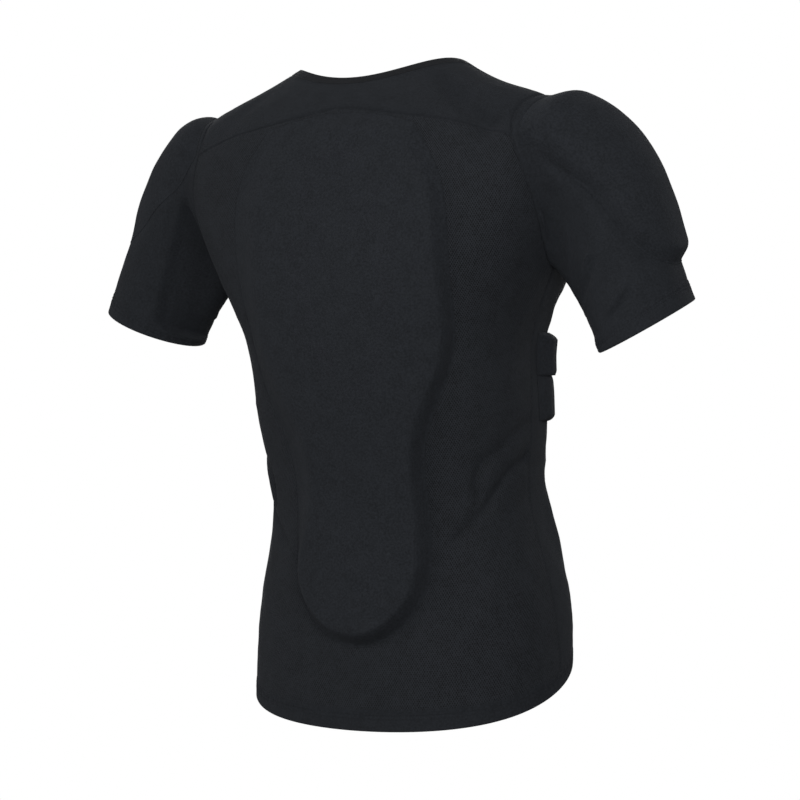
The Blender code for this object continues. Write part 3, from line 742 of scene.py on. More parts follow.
# %% [markdown]
# ## Finishes
# A knit is rows of small loops: each rib of loops leans left and right in turn, which makes its fine V
# pattern. A mesh has staggered round holes. Both are worked out from the piece's flat map with a few sums,
# as height for the bump and as a lighter or darker yarn, so that they follow the cloth and need no picture.

# %% Patterns
KNIT_LEAN = 2.2
KNIT_LOOP, KNIT_RIB, KNIT_LEVEL = 0.22, 0.30, 0.40
MESH_SQUASH = 0.62
MESH_HOLE, MESH_YARN = 0.12, 0.30


def sums(tree, operation, first, second=0.0, third=0.0):
    """The output of one sum on sockets or numbers."""
    return put(tree, "ShaderNodeMath", {0: first, 1: second, 2: third}, operation=operation).outputs[0]


def knit_height(tree, place, rib, course):
    """Height of V-shaped loops: rows shifted by the distance from the rib's middle, on rounded ribs."""
    across = sums(tree, "DIVIDE", place["X"], rib)
    up = sums(tree, "DIVIDE", place["Y"], course)
    from_middle = sums(tree, "PINGPONG", across, 0.5)
    leaning = sums(tree, "MULTIPLY_ADD", from_middle, KNIT_LEAN, up)
    loop = sums(tree, "SINE", sums(tree, "MULTIPLY", leaning, 2 * math.pi))
    rounded = sums(tree, "SINE", sums(tree, "MULTIPLY", from_middle, 2 * math.pi))
    ribbed = sums(tree, "MULTIPLY_ADD", rounded, KNIT_RIB, KNIT_LEVEL)
    return sums(tree, "MULTIPLY_ADD", loop, KNIT_LOOP, ribbed)


def mesh_height(tree, place, pitch):
    """Height of a mesh: 0 in round holes on two lattices half a step apart, 1 on the yarn between them."""
    holes = []
    for shift in (0.0, 0.5):
        x = sums(tree, "PINGPONG", sums(tree, "MULTIPLY_ADD", place["X"], 1 / pitch, shift), 0.5)
        y = sums(tree, "PINGPONG", sums(tree, "MULTIPLY_ADD", place["Y"], MESH_SQUASH / pitch, shift), 0.5)
        squares = sums(tree, "ADD", sums(tree, "POWER", x, 2), sums(tree, "POWER", y, 2))
        holes.append(sums(tree, "SQRT", squares))
    nearest = sums(tree, "MINIMUM", *holes)
    ramp = put(tree, "ShaderNodeMapRange", {"Value": nearest, "From Min": MESH_HOLE, "From Max": MESH_YARN})
    return ramp.outputs["Result"]


# %% [markdown]
# Each finish mixes a dark and a light yarn by its pattern, by a fine noise for the fuzz of the yarn and by a
# wide one for the uneven look of black cloth in soft light. A little sheen lightens the edges. The numbers
# that are the same all over the cloth are set on the shader itself.

# %% Finishes
PATTERN_SHADE = 0.8
YARN_SCALE, PATCH_SCALE = 480.0, 60.0
YARN_DETAIL, PATCH_DETAIL = 2.0, 3.0
PATCH_SHADE = 0.6
FUZZ = 1.2
BUMP_STRENGTH = 0.7
CLOTH_SHADER = {
    "Specular IOR Level": 0.25, "Sheen Weight": 0.04, "Sheen Roughness": 0.45,
    "Sheen Tint": (0.72, 0.78, 0.90, 1.0),
}
# A mix node's colour sockets share their names with its number sockets, so they are found by place.
MIX_FIRST, MIX_SECOND, MIX_RESULT = 6, 7, 2


def cloth_finish(name, slot, dark, light, roughness, bump, grain, pattern, *sizes):
    """A matt cloth and its slot: yarn between two shades by its pattern and two noises, bumped by both."""
    material, tree, shader = start_material(name)
    flat = put(tree, "ShaderNodeUVMap", uv_map=CLOTH_MAP).outputs["UV"]
    height = pattern(tree, put(tree, "ShaderNodeSeparateXYZ", {"Vector": flat}).outputs, *sizes)
    where = put(tree, "ShaderNodeTexCoord").outputs["Object"]
    yarn, patch = (
        put(tree, "ShaderNodeTexNoise", {"Vector": where, "Scale": scale, "Detail": detail}).outputs["Fac"]
        for scale, detail in ((YARN_SCALE, YARN_DETAIL), (PATCH_SCALE, PATCH_DETAIL))
    )
    shade = sums(tree, "MULTIPLY_ADD", height, PATTERN_SHADE, (1 - PATTERN_SHADE) / 2 - grain / 2)
    shade = sums(tree, "MULTIPLY_ADD", yarn, grain, shade)
    shade = sums(tree, "ADD", shade, sums(tree, "MULTIPLY_ADD", patch, PATCH_SHADE, -PATCH_SHADE / 2))
    colour = put(tree, "ShaderNodeMix", {"Factor": shade}, data_type="RGBA")
    fill(tree, colour, {MIX_FIRST: (*dark, 1.0), MIX_SECOND: (*light, 1.0)})
    fuzz = sums(tree, "MULTIPLY_ADD", yarn, FUZZ, height)
    relief = put(tree, "ShaderNodeBump", {"Height": fuzz, "Distance": bump, "Strength": BUMP_STRENGTH})
    fill(tree, shader, {
        "Base Color": colour.outputs[MIX_RESULT], "Normal": relief.outputs["Normal"], "Roughness": roughness,
        **CLOTH_SHADER,
    })
    return material, slot


# Each finish: slot, dark and light yarn, roughness, depth of its bump, grain, and its pattern with its sizes.
KNIT = cloth_finish("stretch knit", "knit", (0.0082, 0.0097, 0.0122), (0.0190, 0.0218, 0.0270),
                    0.85, 0.00035, 1.6, knit_height, 0.0015, 0.0012)
MESH = cloth_finish("open mesh", "mesh", (0.0030, 0.0036, 0.0046), (0.0202, 0.0231, 0.0284),
                    0.82, 0.00060, 1.5, mesh_height, 0.0026)
COVER = cloth_finish("pad cover", "pad_cover", (0.0088, 0.0103, 0.0129), (0.0218, 0.0248, 0.0305),
                     0.88, 0.00035, 1.8, knit_height, 0.0014, 0.0011)
BINDING = cloth_finish("neck tape", "binding", (0.0060, 0.0064, 0.0075), (0.0120, 0.0128, 0.0150),
                       0.75, 0.00025, 1.0, knit_height, 0.0009, 0.0016)
print("finishes:", [material.name for material, _ in (KNIT, MESH, COVER, BINDING)])

# %% [markdown]
# ## Edges at the armholes
# Where a sleeve meets the body, the two cloths bend away from each other. Both end on the plane that halves
# the angle between them, so the thickness is carried along that plane. The shift that this asks of both sides
# dies away over a centimetre, so that the grids don't fold.

# %% Armhole edges
SEAM_GAP = 0.0001
MOST_MITRE = 1.5
MITRE_REACH = 0.010
MITRE_STEP = 0.03


def armhole_edge(turn, side, way):
    """Outer and inner points of a cloth's edge at the armhole, for the body (way -1) or the sleeve (1)."""
    surface = sleeve_form(side)
    a_step = np.full_like(turn, MITRE_STEP)
    body_side = outward(body_form, *armhole(turn))
    mitre = unit(body_side + outward(surface, turn, a_step))
    stretch = np.minimum(1 / np.sum(mitre * body_side, axis=-1, keepdims=True), MOST_MITRE)
    edge = body_form(*armhole(turn + MITRE_STEP)) - body_form(*armhole(turn - MITRE_STEP))
    across = unit(np.cross(edge, mitre))
    ahead = surface(turn, a_step) - body_form(*armhole(turn, 1 + MITRE_STEP))
    across = across * np.sign(np.sum(across * ahead, axis=-1, keepdims=True))
    outer = body_form(*armhole(turn)) + way * SEAM_GAP / 2 * across - SEAM_DIP * mitre
    return on_side(outer, side), on_side(outer - (CLOTH - SEAM_DIP) * stretch * mitre, side)


def carry_shift(grid, shift, distance):
    """Moves a grid by the shift of its edge, less and less with the distance from that edge."""
    return grid + np.clip(1 - distance / MITRE_REACH, 0, 1)[..., None] * shift


sample = armhole_edge(full_turn(36), "left", 1)
print("wall at the armhole:", np.linalg.norm(sample[0] - sample[1], axis=-1).max().round(4), "m at most")

# %% [markdown]
# ## Back and front panel
# Each panel is one cut of cloth from side seam to side seam, hollowed at the armholes and closed at the top
# by the curved yoke seam. Each row of its grid runs from one edge to the other, so the grid follows the cut.

# %% Panel grids
HEM_BAND = 0.022
YOKE_CORNER = math.radians(60)
YOKE_BACK = -0.050
YOKE_FRONT = -0.046
YOKE_CURVE = 1.6
PANEL_DENSE_ROWS = 0.85
PANEL_DENSE_COLUMNS = 0.80


def side_seam_angle(height):
    """The angle of the left side seam, which lies in a plane through the hem and the armhole's foot."""
    foot = body_form(math.pi / 2, ARMHOLE_FOOT)
    hem = body_form(math.pi / 2, HEM_HEIGHT)
    slope = (foot[1] - hem[1]) / (foot[2] - hem[2])
    angle = np.full_like(height, math.pi / 2)
    for _ in range(12):
        point = body_form(angle, height)
        behind = point[..., 1] - foot[1] - slope * (point[..., 2] - foot[2])
        angle = angle + behind / ring_sizes(height)["half_depth"]
    return angle


def start_dense(cells):
    """Values from 0 to 1 in steps that begin small: the first half of edge_dense, stretched."""
    return 2 * edge_dense(0, 1, 2 * cells, PANEL_DENSE_ROWS)[: cells + 1]


def yoke_curve(middle, edge, share):
    """Height of a curved row: middle + (edge - middle)·|share|^1.6, with share from -1 to 1."""
    return middle + (edge - middle) * np.abs(share) ** YOKE_CURVE


def panel_grid(centre, corner_turn, centre_top, low_cells, high_cells, cells):
    """Angles and heights of a panel, rows upwards and columns round the body, and its armhole's turns.

    angle = centre + share·reach, with share from -1 to 1, and the heights follow the yoke's curve.
    """
    hem_top = HEM_HEIGHT + HEM_BAND
    low = hem_top + (ARMHOLE_FOOT - hem_top) * start_dense(low_cells)[:-1]
    climb = 1 - start_dense(high_cells)[::-1]
    armpit = math.copysign(math.pi, corner_turn)
    turn = armpit + (corner_turn - armpit) * climb
    hole_angle, hole_height = armhole(turn)
    reach = np.abs(np.concatenate((side_seam_angle(low), hole_angle)) - centre)[:, None]
    edge = np.concatenate((low, hole_height))[:, None]
    middle = np.concatenate((low, ARMHOLE_FOOT + (centre_top - ARMHOLE_FOOT) * climb))[:, None]
    share = edge_dense(-1, 1, cells, PANEL_DENSE_COLUMNS)
    return centre + share * reach, yoke_curve(middle, edge, share), turn


print("side seam at", np.degrees(side_seam_angle(np.array((HEM_HEIGHT, -0.4)))).round(1).tolist(), "degrees")

# %% Back and front panel
BACK_CELLS = (130, 80, 210)
FRONT_CELLS = (96, 64, 170)
SEAM_DIP_GROWS = 0.04
PANEL_STITCH_COLUMNS = (3, -4)
PANEL_STITCH_ROW = -4


def sew_panel(name, node, centre, corner_turn, centre_top, cells, finish):
    """A panel with its creases, drawn down along its seams, and its rows of stitches."""
    angle, height, turn = panel_grid(centre, corner_turn, centre_top, *cells)
    form, normal = body_form(angle, height), outward(body_form, angle, height)
    up, from_first = distance_along(form), distance_across(form)
    from_last = from_first[:, -1:] - from_first
    from_edge = np.minimum(np.minimum(up, up[-1:] - up), np.minimum(from_first, from_last))
    drawn = LOW_SEAM_SHARE + (1 - LOW_SEAM_SHARE) * ease(height, ARMHOLE_FOOT - SEAM_DIP_GROWS, ARMHOLE_FOOT)
    sides = cloth_sides(form, normal, body_relief(angle, height), seam_dip(from_edge, drawn))
    first = len(form) - len(turn)
    columns = {"left": -1, "right": 0} if centre == 0 else {"left": 0, "right": -1}
    for side, column in columns.items():
        away = from_first if column == 0 else from_last
        for grid, edge in zip(sides, armhole_edge(turn, side, -1)):
            shift = np.zeros_like(form[:, column])
            shift[first:] = edge - grid[first:, column]
            grid[:] = carry_shift(grid, shift[:, None], away)
    outer = sides[0]
    stitches = [(outer[:, column], normal[:, column], False) for column in PANEL_STITCH_COLUMNS]
    stitches.append((outer[PANEL_STITCH_ROW], normal[PANEL_STITCH_ROW], False))
    return cloth_wall(name, node, *sides, finish), stitches


back_panel, back_rows = sew_panel(
    "back_mesh", "back_panel", 0.0, YOKE_CORNER, YOKE_BACK, BACK_CELLS, MESH)
front_panel, front_rows = sew_panel(
    "front_knit", "front_panel", math.pi, -YOKE_CORNER, YOKE_FRONT, FRONT_CELLS, KNIT)

# %% [markdown]
# ## Yoke
# The yoke is one ring of knit that lies over both shoulders. Its lower edge runs along the back seam, over
# the top of an armhole, along the front seam and back over the other armhole. Straight lines in height join
# that edge to the neck.

# %% Yoke
NECK_BAND = 0.007
YOKE_SEAM_CELLS = 110
YOKE_HOLE_CELLS = 56
YOKE_ROWS = 34
YOKE_STITCHES = (4, -5)

seam_share = np.linspace(-1, 1, YOKE_SEAM_CELLS + 1)
hole_turn = np.linspace(YOKE_CORNER, -YOKE_CORNER, YOKE_HOLE_CELLS + 1)
hole_angle, hole_height = armhole(hole_turn)
edge_angle = np.concatenate((
    seam_share * hole_angle[0], hole_angle[1:-1],
    math.pi + seam_share * (math.pi - hole_angle[-1]), 2 * math.pi - hole_angle[-2:0:-1],
))
edge_height = np.concatenate((
    yoke_curve(YOKE_BACK, hole_height[0], seam_share), hole_height[1:-1],
    yoke_curve(YOKE_FRONT, hole_height[-1], seam_share), hole_height[-2:0:-1],
))
yoke_top = NECK_HEIGHT - NECK_BAND
yoke_height = edge_height + edge_dense(0, 1, YOKE_ROWS)[:, None] * (yoke_top - edge_height)
yoke_angle = np.broadcast_to(edge_angle, yoke_height.shape)
yoke_form, yoke_normal = body_form(yoke_angle, yoke_height), outward(body_form, yoke_angle, yoke_height)
yoke_up = distance_along(yoke_form)
yoke_dip = seam_dip(yoke_up) + seam_dip(yoke_up[-1:] - yoke_up, LOW_SEAM_SHARE)
yoke_sides = cloth_sides(yoke_form, yoke_normal, body_relief(yoke_angle, yoke_height), yoke_dip)
column_number = np.arange(len(edge_angle) + 1) % len(edge_angle)
for side, start, turns in (
    ("left", YOKE_SEAM_CELLS, hole_turn),
    ("right", 2 * YOKE_SEAM_CELLS + YOKE_HOLE_CELLS, hole_turn[::-1]),
):
    columns = column_number[start : start + len(turns)]
    for grid, edge in zip(yoke_sides, armhole_edge(turns, side, -1)):
        grid[:, columns] = carry_shift(grid[:, columns], (edge - grid[0, columns])[None], yoke_up[:, columns])
yoke = cloth_wall("yoke_knit", "yoke", *yoke_sides, KNIT, True)
yoke_rows = [(yoke_sides[0][number], yoke_normal[number], True) for number in YOKE_STITCHES]

# %% [markdown]
# ## Sleeves
# A short sleeve is a tube with one seam under the arm. Its creases run across it where the arm bends
# forwards. One longer fold, deep on the left and faint on the right, runs down the back of each sleeve, and
# beyond it the cloth turns to the body. The shoulder pad's outline is drawn here too, because the cloth is
# drawn down beside it. The tables give degrees round the arm, from the shoulder line backwards, and shares
# of the sleeve's length.

# %% Tables of the sleeves' creases
SLEEVE_WAVES = (0.013, 0.0003)
# Each row: the line, the ridge's width and its height.
SLEEVE_CREASES = {
    "right": (
        (((112, 0.02), (124, 0.06), (138, 0.14)), 0.0034, 0.0034),
        (((78, 0.57), (92, 0.571), (108, 0.58), (128, 0.571), (152, 0.54)), 0.0036, 0.0058),
        (((60, 0.77), (72, 0.79), (82, 0.80), (96, 0.82), (112, 0.83)), 0.0038, 0.0038),
        (((100, 0.34), (122, 0.36), (146, 0.34)), 0.0055, 0.0014),
        (((-80, 0.50), (-104, 0.52), (-132, 0.50)), 0.0060, 0.0020),
        (((-66, 0.74), (-88, 0.78), (-112, 0.80)), 0.0055, 0.0018),
        (((160, 0.62), (186, 0.66), (214, 0.62)), 0.0060, 0.0016),
    ),
    "left": (
        (((66, 0.24), (80, 0.21), (98, 0.15), (114, 0.06)), 0.0040, 0.0016),
        (((84, 0.60), (102, 0.58), (124, 0.56), (150, 0.54)), 0.0055, 0.0010),
        (((-78, 0.52), (-102, 0.54), (-130, 0.52)), 0.0060, 0.0020),
        (((-64, 0.76), (-86, 0.80), (-110, 0.82)), 0.0055, 0.0018),
        (((160, 0.60), (186, 0.64), (214, 0.60)), 0.0060, 0.0016),
    ),
}
SLEEVE_FOLD = ((76, 0.13), (84, 0.25), (97, 0.454), (110, 0.706), (120, 0.93))
SLEEVE_FOLD_WIDTH = 0.017
SLEEVE_FOLD_DEPTH = {"left": -0.0120, "right": -0.0020}
FOLD_AT_ONCE, FOLD_SLOWLY, FOLD_BACK = (-0.2, 0.9), (-0.2, 3.2), (2.6, 5.0)
FOLD_START = (0.0, 0.3)
# Each row: share of the sleeve's length, and half of the pad's width in degrees.
SHOULDER_PAD = np.array(((0.03, 57), (0.15, 68), (0.30, 66), (0.46, 55), (0.58, 54)))
SHOULDER_PAD_END = 0.46
SHOULDER_OUTLINE = (24, 24)
SHOULDER_VALLEY_DEPTH = {"left": -0.0004, "right": -0.0026}
SHOULDER_VALLEY_SIDES = (0.2, 0.8)
STILL_AT_SHOULDER = (0.0, 0.06)
STILL_AT_CUFF = (0.84, 0.90)
print("sleeve creases:", {side: len(table) for side, table in SLEEVE_CREASES.items()})

# %% Creases of the sleeves
SLEEVE_GIRTH = 0.056
SLEEVE_LENGTH = 0.19
SLEEVE_LOWEST_TURN = math.radians(-135)


def shoulder_pad_grid(side, rows, cells):
    """Turn, along and share of a shoulder pad: rows bowed towards the cuff by a cosine, most at its foot."""
    edge = edge_dense(SHOULDER_PAD[0, 0], SHOULDER_PAD_END, rows)
    share = ((edge - edge[0]) / (edge[-1] - edge[0]))[:, None]
    swing = half_swing(cells)
    half_turn = np.radians(smooth_curve(SHOULDER_PAD[:, 0], SHOULDER_PAD[:, 1], edge))[:, None]
    bow = SLEEVES[side]["pad_foot_reach"] * share**2
    return half_turn * np.sin(swing), edge[:, None] + bow * np.cos(swing), share


def sleeve_place(turn, along):
    """Turn and along as a flat place in metres. The turn counts from -135 to 225 degrees."""
    turned = (turn - SLEEVE_LOWEST_TURN) % (2 * math.pi) + SLEEVE_LOWEST_TURN
    return np.stack((turned * SLEEVE_GIRTH, along * SLEEVE_LENGTH), axis=-1)


def on_sleeve(table):
    """A table of degrees and shares of the length as flat places."""
    return [(math.radians(degrees) * SLEEVE_GIRTH, share * SLEEVE_LENGTH) for degrees, share in table]


def sleeve_relief(side, turn, along):
    """The sum of a sleeve's creases, still at the armhole and at the cuff's seam.

    Beyond the line of its fold the cloth drops, half of it at once and half over three widths, and it comes
    back under the arm.
    """
    turn, along = np.broadcast_arrays(turn, along)
    place = sleeve_place(turn, along)
    relief = unevenness(place, *SLEEVE_WAVES)
    for path, width, depth in SLEEVE_CREASES[side]:
        relief = relief + crease(place, on_sleeve(path), width, depth)
    away, share = along_line(place, line_points(on_sleeve(SLEEVE_FOLD)))
    beyond = -away / SLEEVE_FOLD_WIDTH
    dropped = (ease(beyond, *FOLD_AT_ONCE) + ease(beyond, *FOLD_SLOWLY)) / 2 * (1 - ease(beyond, *FOLD_BACK))
    relief = relief + SLEEVE_FOLD_DEPTH[side] * dropped * ease(share, *FOLD_START)
    outline = np.stack(shoulder_pad_grid(side, *SHOULDER_OUTLINE)[:2], axis=-1)
    outline = outline * (SLEEVE_GIRTH, SLEEVE_LENGTH)
    away, _ = along_line(place, np.concatenate((outline[:, 0], outline[-1, 1:-1], outline[::-1, -1])))
    drawn = bell(away, PAD_VALLEY_WIDTH) * ease(np.abs(np.sin(turn)), *SHOULDER_VALLEY_SIDES)
    relief = relief + SHOULDER_VALLEY_DEPTH[side] * drawn
    return relief * ease(along, *STILL_AT_SHOULDER) * (1 - ease(along, *STILL_AT_CUFF))


for side in SLEEVES:
    sample = sleeve_relief(side, once_round, np.linspace(0, 1, 40)[:, None])
    print(f"{side} sleeve relief:", np.round((sample.min(), sample.max()), 4).tolist())

# %% Sleeves
SLEEVE_ROWS = 96
SLEEVE_CELLS = 150
ARMHOLE_STITCHES = 5
UNDER_STITCHES = slice(2, -2)

sleeves, sleeve_rows = {}, {}
for side in SLEEVES:
    surface = sleeve_form(side)
    turn = full_turn(SLEEVE_CELLS, math.pi)
    along = edge_dense(0, 1 - CUFF_BAND_SHARE, SLEEVE_ROWS)[:, None]
    form = on_side(surface(turn, along), side)
    normal = on_side(outward(surface, *np.broadcast_arrays(turn, along)), side)
    down = distance_along(form)
    dip = seam_dip(down) + seam_dip(down[-1:] - down, LOW_SEAM_SHARE)
    sides = cloth_sides(form, normal, sleeve_relief(side, turn, along), dip)
    for grid, edge in zip(sides, armhole_edge(turn, side, 1)):
        grid[:] = carry_shift(grid, (edge - grid[0])[None], down)
    sleeves[side] = cloth_wall(f"sleeve_knit_{side}", f"sleeve_{side}", *sides, KNIT, True)
    sleeve_rows[side] = [
        (sides[0][ARMHOLE_STITCHES], normal[ARMHOLE_STITCHES], True),
        (sides[0][UNDER_STITCHES, 0], normal[UNDER_STITCHES, 0], False),
    ]

# %% [markdown]
# ## Hems and neck tape
# A hem is cloth turned in and sewn down with two rows of stitches, so it is thicker, round at its fold and a
# little puckered along the sewing. The neck has a narrow tape folded over its edge. One profile serves all:
# a flat wall that closes in a half circle at its free edge, carried round the opening.

# %% Folded edges
HEM_CLOTH = 0.0030
HEM_PROUD = 0.0003
FOLD_BLUNTNESS = 0.03
FOLD_PLAIN = 0.002
STITCH_ROWS = (0.0035, 0.0065)
STITCH_DENT, STITCH_DENT_WIDTH = 0.00035, 0.0010
PUCKER, PUCKER_WIDTH = 0.00022, 0.0045
PUCKER_LENGTH, PUCKER_DRIFT, PUCKER_DRIFT_LENGTH = 0.0085, 2.0, 0.021


def folded_edge(name, node, surface, side, around, seam_at, edge_at, rows, finish, stitch_rows):
    """A ring between its seam and its free edge, and its rows of stitches.

    Near the fold it is as thick as thickness·sqrt(1 - (1 - y)²), with y the distance from the free edge in
    half thicknesses.
    """
    first, second = np.meshgrid(around, edge_dense(seam_at, edge_at, rows))
    form, normal = surface(first, second), outward(surface, first, second)
    if side:
        form, normal = on_side(form, side), on_side(normal, side)
    from_seam = distance_along(form)
    from_fold = from_seam[-1:] - from_seam
    y = np.clip(from_fold / (HEM_CLOTH / 2), FOLD_BLUNTNESS, 1)
    half = HEM_CLOTH / 2 * np.sqrt(1 - (1 - y) ** 2)
    middle = HEM_PROUD - HEM_CLOTH / 2
    girth = distance_across(form)
    waves = np.sin(2 * math.pi * girth / PUCKER_LENGTH + PUCKER_DRIFT * np.sin(girth / PUCKER_DRIFT_LENGTH))
    lift = seam_dip(from_seam, LOW_SEAM_SHARE)
    for place in stitch_rows:
        lift = lift - STITCH_DENT * bell(from_seam - place, STITCH_DENT_WIDTH)
        lift = lift + PUCKER * waves * bell(from_seam - place, PUCKER_WIDTH)
    outer = lifted(form, normal, middle + half + lift * ease(from_fold, 0, FOLD_PLAIN))
    piece = cloth_wall(name, node, outer, lifted(form, normal, middle - half), finish, True)
    numbers = [int(np.argmin(np.abs(from_seam.mean(axis=1) - place))) for place in stitch_rows]
    return piece, [(outer[number], normal[number], True) for number in numbers]


# %% Hems and neck tape
HEM_CELLS, HEM_ROWS = 420, 26
CUFF_CELLS, CUFF_ROWS = 170, 24
NECK_CELLS, NECK_ROWS = 200, 16

hem, hem_rows = folded_edge(
    "hem_fold", "hem_band", body_form, None, full_turn(HEM_CELLS, math.pi / 2),
    HEM_HEIGHT + HEM_BAND, HEM_HEIGHT, HEM_ROWS, KNIT, STITCH_ROWS)
cuffs, cuff_rows = {}, {}
for side in SLEEVES:
    cuffs[side], cuff_rows[side] = folded_edge(
        f"cuff_fold_{side}", f"cuff_band_{side}", sleeve_form(side), side, full_turn(CUFF_CELLS, math.pi),
        1 - CUFF_BAND_SHARE, 1.0, CUFF_ROWS, KNIT, STITCH_ROWS)
neck, _ = folded_edge(
    "neck_tape", "neck_binding", body_form, None, full_turn(NECK_CELLS),
    yoke_top, NECK_HEIGHT, NECK_ROWS, BINDING, ())

# %% [markdown]
# ## Pads
# A protector pad is soft foam under a knit cover, sewn down round its edge. Its section is a narrow sewn
# flange, a round shoulder and an even top. A cloth simulation would swell it like a pillow, which the real
# pads aren't, so the section is a function of the distance from the outline, on the cloth beneath.

# %% Pads
PAD_GAP = 0.0001
PAD_FLANGE = 0.0020
PAD_FLANGE_THICK = 0.0002


def rim(grid):
    """The outline of a grid, round its four sides in turn."""
    return np.concatenate((grid[0], grid[1:, -1], grid[-1, -2::-1], grid[-2:0:-1, 0]))


def rim_distance(points):
    """Distance of each point of a grid from the nearest point of the grid's own outline."""
    nearest = np.full(points.shape[:2], np.inf)
    for part in np.array_split(rim(points), 24):
        away = points[:, :, None] - part
        nearest = np.minimum(nearest, np.sqrt((away**2).sum(-1)).min(-1))
    return nearest


def edge_rise(distance, shoulder, roundness, softness):
    """How far a pad has risen at a distance inside its edge, from 0 to 1, with x = distance / shoulder.

    A firm edge rises as (1 - (1 - x)^n)^(1/n), a soft one as 3x² - 2x³, and softness mixes the two.
    """
    x = np.clip(distance / shoulder, 0, 1)
    firm = (1 - (1 - x) ** roundness) ** (1 / roundness)
    return firm + softness * (ease(x, 0, 1) - firm)


def add_pad(name, node, base, normal, thick, rise):
    """A pad on a grid of cloth points, flange + (thick - flange)·rise above them, and its row of stitches."""
    outer = lifted(base, normal, PAD_GAP + PAD_FLANGE_THICK + (thick - PAD_FLANGE_THICK) * rise)
    piece = cloth_wall(name, node, outer, base + PAD_GAP * normal, COVER)
    return rim(outer[1:-1, 1:-1]), rim(normal[1:-1, 1:-1]), True


for softness in (0, 1):
    print("edge of softness", softness, edge_rise(np.linspace(0, 1, 5), 1, 2, softness).round(2).tolist())

# %% [markdown]
# The back pad is thin at the top, where it runs out just below the yoke, and full from the shoulder blades
# down.

# %% Back pad
BACK_PAD_ROWS = 170
BACK_PAD_CELLS = 120
BACK_PAD_ROUNDNESS = 1.6
BACK_PAD_SOFTNESS = 0.9

pad_angle, pad_height, pad_thick, pad_shoulder = back_pad_grid(BACK_PAD_ROWS, BACK_PAD_CELLS)
pad_base = body_cloth(pad_angle, pad_height)
pad_rise = edge_rise(rim_distance(pad_base) - PAD_FLANGE, pad_shoulder, BACK_PAD_ROUNDNESS, BACK_PAD_SOFTNESS)
pad_normal = outward(body_form, pad_angle, pad_height)
pad_rows = [add_pad("back_pad_cover", "back_pad", pad_base, pad_normal, pad_thick, pad_rise)]

# %% [markdown]
# Each shoulder pad caps the sleeve from the armhole to a rounded foot above the cuff. It takes the sleeve's
# own points, creases included, so it sits on the cloth all round.

# %% Shoulder pads
# The next two tables give the thickness and the shoulder's width at these shares of a pad's length.
SHOULDER_PAD_PLACES = (0.0, 0.4, 1.0)
SHOULDER_PAD_THICK = {"left": (0.015, 0.011, 0.004), "right": (0.015, 0.013, 0.012)}
SHOULDER_PAD_SHOULDER = {"left": (0.010, 0.040, 0.036), "right": (0.030, 0.022, 0.012)}
SHOULDER_PAD_ROUNDNESS = {"left": 1.25, "right": 1.5}
SHOULDER_PAD_SOFTNESS = {"left": 0.8, "right": 0.6}
SHOULDER_PAD_ROWS = 84
SHOULDER_PAD_CELLS = 90

for side in SLEEVES:
    surface = sleeve_form(side)
    pad_turn, pad_along, pad_share = shoulder_pad_grid(side, SHOULDER_PAD_ROWS, SHOULDER_PAD_CELLS)
    pad_thick, pad_shoulder = (
        smooth_curve(SHOULDER_PAD_PLACES, sizes[side], pad_share)
        for sizes in (SHOULDER_PAD_THICK, SHOULDER_PAD_SHOULDER)
    )
    normal = outward(surface, pad_turn, pad_along)
    pad_base = lifted(surface(pad_turn, pad_along), normal, sleeve_relief(side, pad_turn, pad_along))
    pad_rise = edge_rise(rim_distance(pad_base) - PAD_FLANGE, pad_shoulder,
                         SHOULDER_PAD_ROUNDNESS[side], SHOULDER_PAD_SOFTNESS[side])
    sleeve_rows[side].append(add_pad(
        f"shoulder_pad_cover_{side}", f"shoulder_pad_{side}", on_side(pad_base, side), on_side(normal, side),
        pad_thick, pad_rise))

# %% [markdown]
# Two short bars of padding lie over the ribs on each side of the front. Each is a rectangle with rounded
# corners: near its top and foot its half length shrinks by r - sqrt(r² - y²), with r the corner's radius.

# %% Rib pads
# Each row: foot, top and thickness.
RIB_PADS = {"lower": (-0.373, -0.32755, 0.0078), "upper": (-0.32745, -0.282, 0.0120)}
RIB_PAD_START = math.radians(96)
RIB_PAD_END = math.radians(142)
RIB_PAD_CORNER = 0.003
# Each row: width of the shoulder, softness, and how high the pad stands at the edge itself.
RIB_PAD_EDGES = {
    "start": (0.022, 1.0, 0.0),
    "end": (0.010, 0.5, 0.0),
    "outside": (0.007, 0.2, 0.0),
    "between": (0.006, 0.4, 0.8),
}
RIB_PAD_ROUNDNESS = 2.2
RIB_PAD_ROWS = 44
RIB_PAD_CELLS = 64

